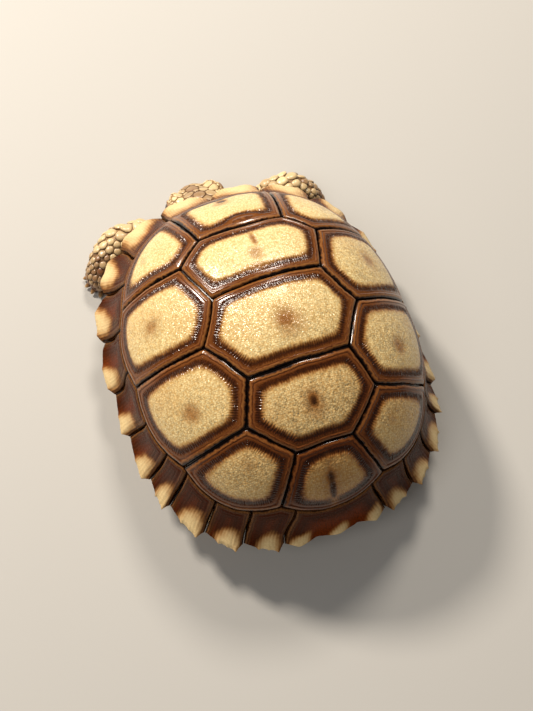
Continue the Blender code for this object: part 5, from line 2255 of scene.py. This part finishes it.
        lift = local[..., 2] * size[:, None] * height + tilt * (
            ahead_by + outline.mean(axis=1)[:, None] * 0.3
        )
        placed = roots[:, None] + ahead[:, None] * ahead_by[..., None] + aside[:, None] * aside_by[..., None]
        placed = placed.reshape(-1, 3)
        upright = np.repeat(facing, local.shape[1], axis=0).tolist()
        for i, (place, rise, up) in enumerate(zip(placed.tolist(), lift.ravel().tolist(), upright)):
            found, normal, _, gap = surface.find_nearest(place)
            away = Vector(place) + (found - Vector(place)) * min(1.0, 0.3 / max(gap, 1e-6))
            placed[i] = away + (normal if normal.dot(Vector(up)) > 0.55 else Vector(up)) * rise
        placed[:, 2] = np.maximum(placed[:, 2], 0.01)
        store(made.vertices, "co", placed * MM)
        for label in ("turn", "size", "root", "leaf"):
            if label in made.attributes:
                made.attributes.remove(made.attributes[label])
        made.shade_smooth()
        hand_over(new_object(name, made), "skin")

    def make(
        self, skin: Object, points: Array, number: Array, run: Array, way: Array, tone: Array, horn: Array,
        lids: Array, unwrap: Array,
    ) -> None:
        """Lays the scales of the head and neck, the legs and the tail.

        Args:
            skin: The skin.
            points: Points of the skin, in millimetres.
            number: The number of the part that each point lies on.
            run: How far along its limb each point is.
            way: The way its limb runs there.
            tone: Its tone.
            horn: How much of it is beak.
            lids: Its place round the nearer eye.
            unwrap: Its place on the unwrap.
        """
        ScaleHorn().make()
        _, normals = self.flesh.read(skin.data)
        spacing = self.flesh.spacing(points, normals, number, run)
        spacing = np.where(lids < 2.2, np.minimum(spacing, 0.42), spacing)
        spacing = np.where((horn > 0.4) | (lids < 1.32) | (points[:, 2] < 0.25), 0.0, spacing)
        drift = 0.5 + 0.5 * np.sin(points @ (2.1, 1.3, 1.7) + 1.5 * np.sin(points @ (-1.1, 2.3, 0.7)))
        spacing *= 0.88 + 0.3 * drift
        shields, widths = self.flesh.head.shield_roots(points)
        spacing[shields] = widths
        chosen = self.choose(points, spacing, shields)
        is_shield = np.arange(len(chosen)) < len(shields)
        group = self.tree()
        random = np.random.default_rng(self.seed + 1)
        shade = np.clip(tone[chosen] + random.uniform(-0.16, 0.12, len(chosen)), 0.0, 1.0)
        crowd = (points[chosen], spacing[chosen])
        surface = BVHTree.FromPolygons(points.tolist(), [tuple(face.vertices) for face in skin.data.polygons])
        kinds = (
            ("head_shields", is_shield, 24, (0.08, 0.0, 0.0)),
            ("scales_head", (number[chosen] <= NECK) & ~is_shield, 10, (0.2, 0.0, 0.02)),
            ("scales_front_legs", np.isin(number[chosen], FRONT_LEGS), 10, (0.26, 0.22, 0.16)),
            ("scales_hind_legs", number[chosen] >= HIND_LEGS[0], 10, (0.26, 0.2, 0.14)),
        )
        for name, which, spokes, form in kinds:
            index = chosen[which]
            scale = self.template(spokes)
            self.lay(
                name, points[index], normals[index], way[index], spacing[index], shade[which],
                unwrap[index], scale, group, crowd, form, surface,
            )
            bpy.data.objects.remove(scale)


# ---------------------------------------------------------------- floor, light and camera


@dataclass
class Studio:
    """A pale floor, soft lights and the camera."""

    camera_place: Triple = (32.24, 55.67, 161.91)
    aim: Triple = (1.07, 4.40, 14.0)
    roll_degrees: float = 11.59
    lens: float = 48.42

    def add_floor(self) -> None:
        """A plain matt floor."""
        half = 2000.0
        points = np.array([(-half, -half, 0.0), (half, -half, 0.0), (half, half, 0.0), (-half, half, 0.0)])
        paint = finished(new_material("floor_paint", 0.7)[0], {"Base Color": "#BDBAB4"})
        make_piece("floor", points, np.array([(0, 1, 2), (0, 2, 3)]), paint)

    def add_light(
        self, name: str, place: Triple, size: float, power: float, colour: str, glints: bool = True
    ) -> None:
        """A soft round light that faces the shell.

        Args:
            name: The light's name.
            place: Where it stands, in metres.
            size: Its width in metres.
            power: Its power in watts.
            colour: Its colour.
            glints: Whether it shows in glossy surfaces.
        """
        light = bpy.data.lights.new(name, "AREA")
        light.shape = "DISK"
        light.size, light.energy, light.color = size, power, linear(colour)[:3]
        lamp = new_object(name, light)
        lamp.location = place
        lamp.visible_glossy = glints
        lamp.rotation_euler = (Vector((0.0, 0.0, 0.015)) - Vector(place)).to_track_quat("-Z", "Y").to_euler()

    def add_camera(self) -> None:
        """The camera, above the tail and turned about its line of sight."""
        place, aim = Vector(self.camera_place) * MM, Vector(self.aim) * MM
        forward = (aim - place).normalized()
        level = forward.cross(Vector((0, 0, 1))).normalized()
        upright = level.cross(forward)
        roll = math.radians(self.roll_degrees)
        right = level * math.cos(roll) + upright * math.sin(roll)
        up = upright * math.cos(roll) - level * math.sin(roll)
        camera = bpy.data.cameras.new("camera")
        camera.lens, camera.sensor_width, camera.clip_start = self.lens, 36.0, 0.01
        holder = new_object("camera", camera)
        turn = Matrix((right, up, -forward)).transposed().to_4x4()
        holder.matrix_world = Matrix.Translation(place) @ turn
        bpy.context.scene.camera = holder

    def make(self) -> None:
        """Builds the floor, the lights and the camera."""
        self.add_floor()
        self.add_light("key", (0.17, -0.33, 0.33), 0.08, 2.6, "#FFF5E8")
        self.add_light("front", (-0.16, -0.34, 0.42), 0.12, 1.85, "#FFF6EA")
        self.add_light("fill", (0.4, 0.15, 0.6), 0.4, 1.6, "#FAF7F4", False)
        world = bpy.data.worlds.new("studio")
        world.use_nodes = True
        tree = world.node_tree
        set_inputs(tree, tree.nodes["Background"], {"Color": "#DCDDE0", "Strength": 0.1})
        bpy.context.scene.world = world
        bpy.context.scene.view_settings.view_transform = "Standard"
        self.add_camera()


# ---------------------------------------------------------------- the whole animal


def main() -> None:
    """Dresses the frame."""
    logging.basicConfig(level=logging.INFO, format="%(message)s")
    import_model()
    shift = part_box("abdominal_left")[0].y / MM - ABDOMINAL_FRONT
    form = ShellForm(shift=shift)
    DomeScutes(form).make()
    Marginals(form).make()
    ShellBed(form).make()
    Plastron(form).make()
    Flesh(shift).make()
    Studio().make()


if __name__ == "__main__":
    main()
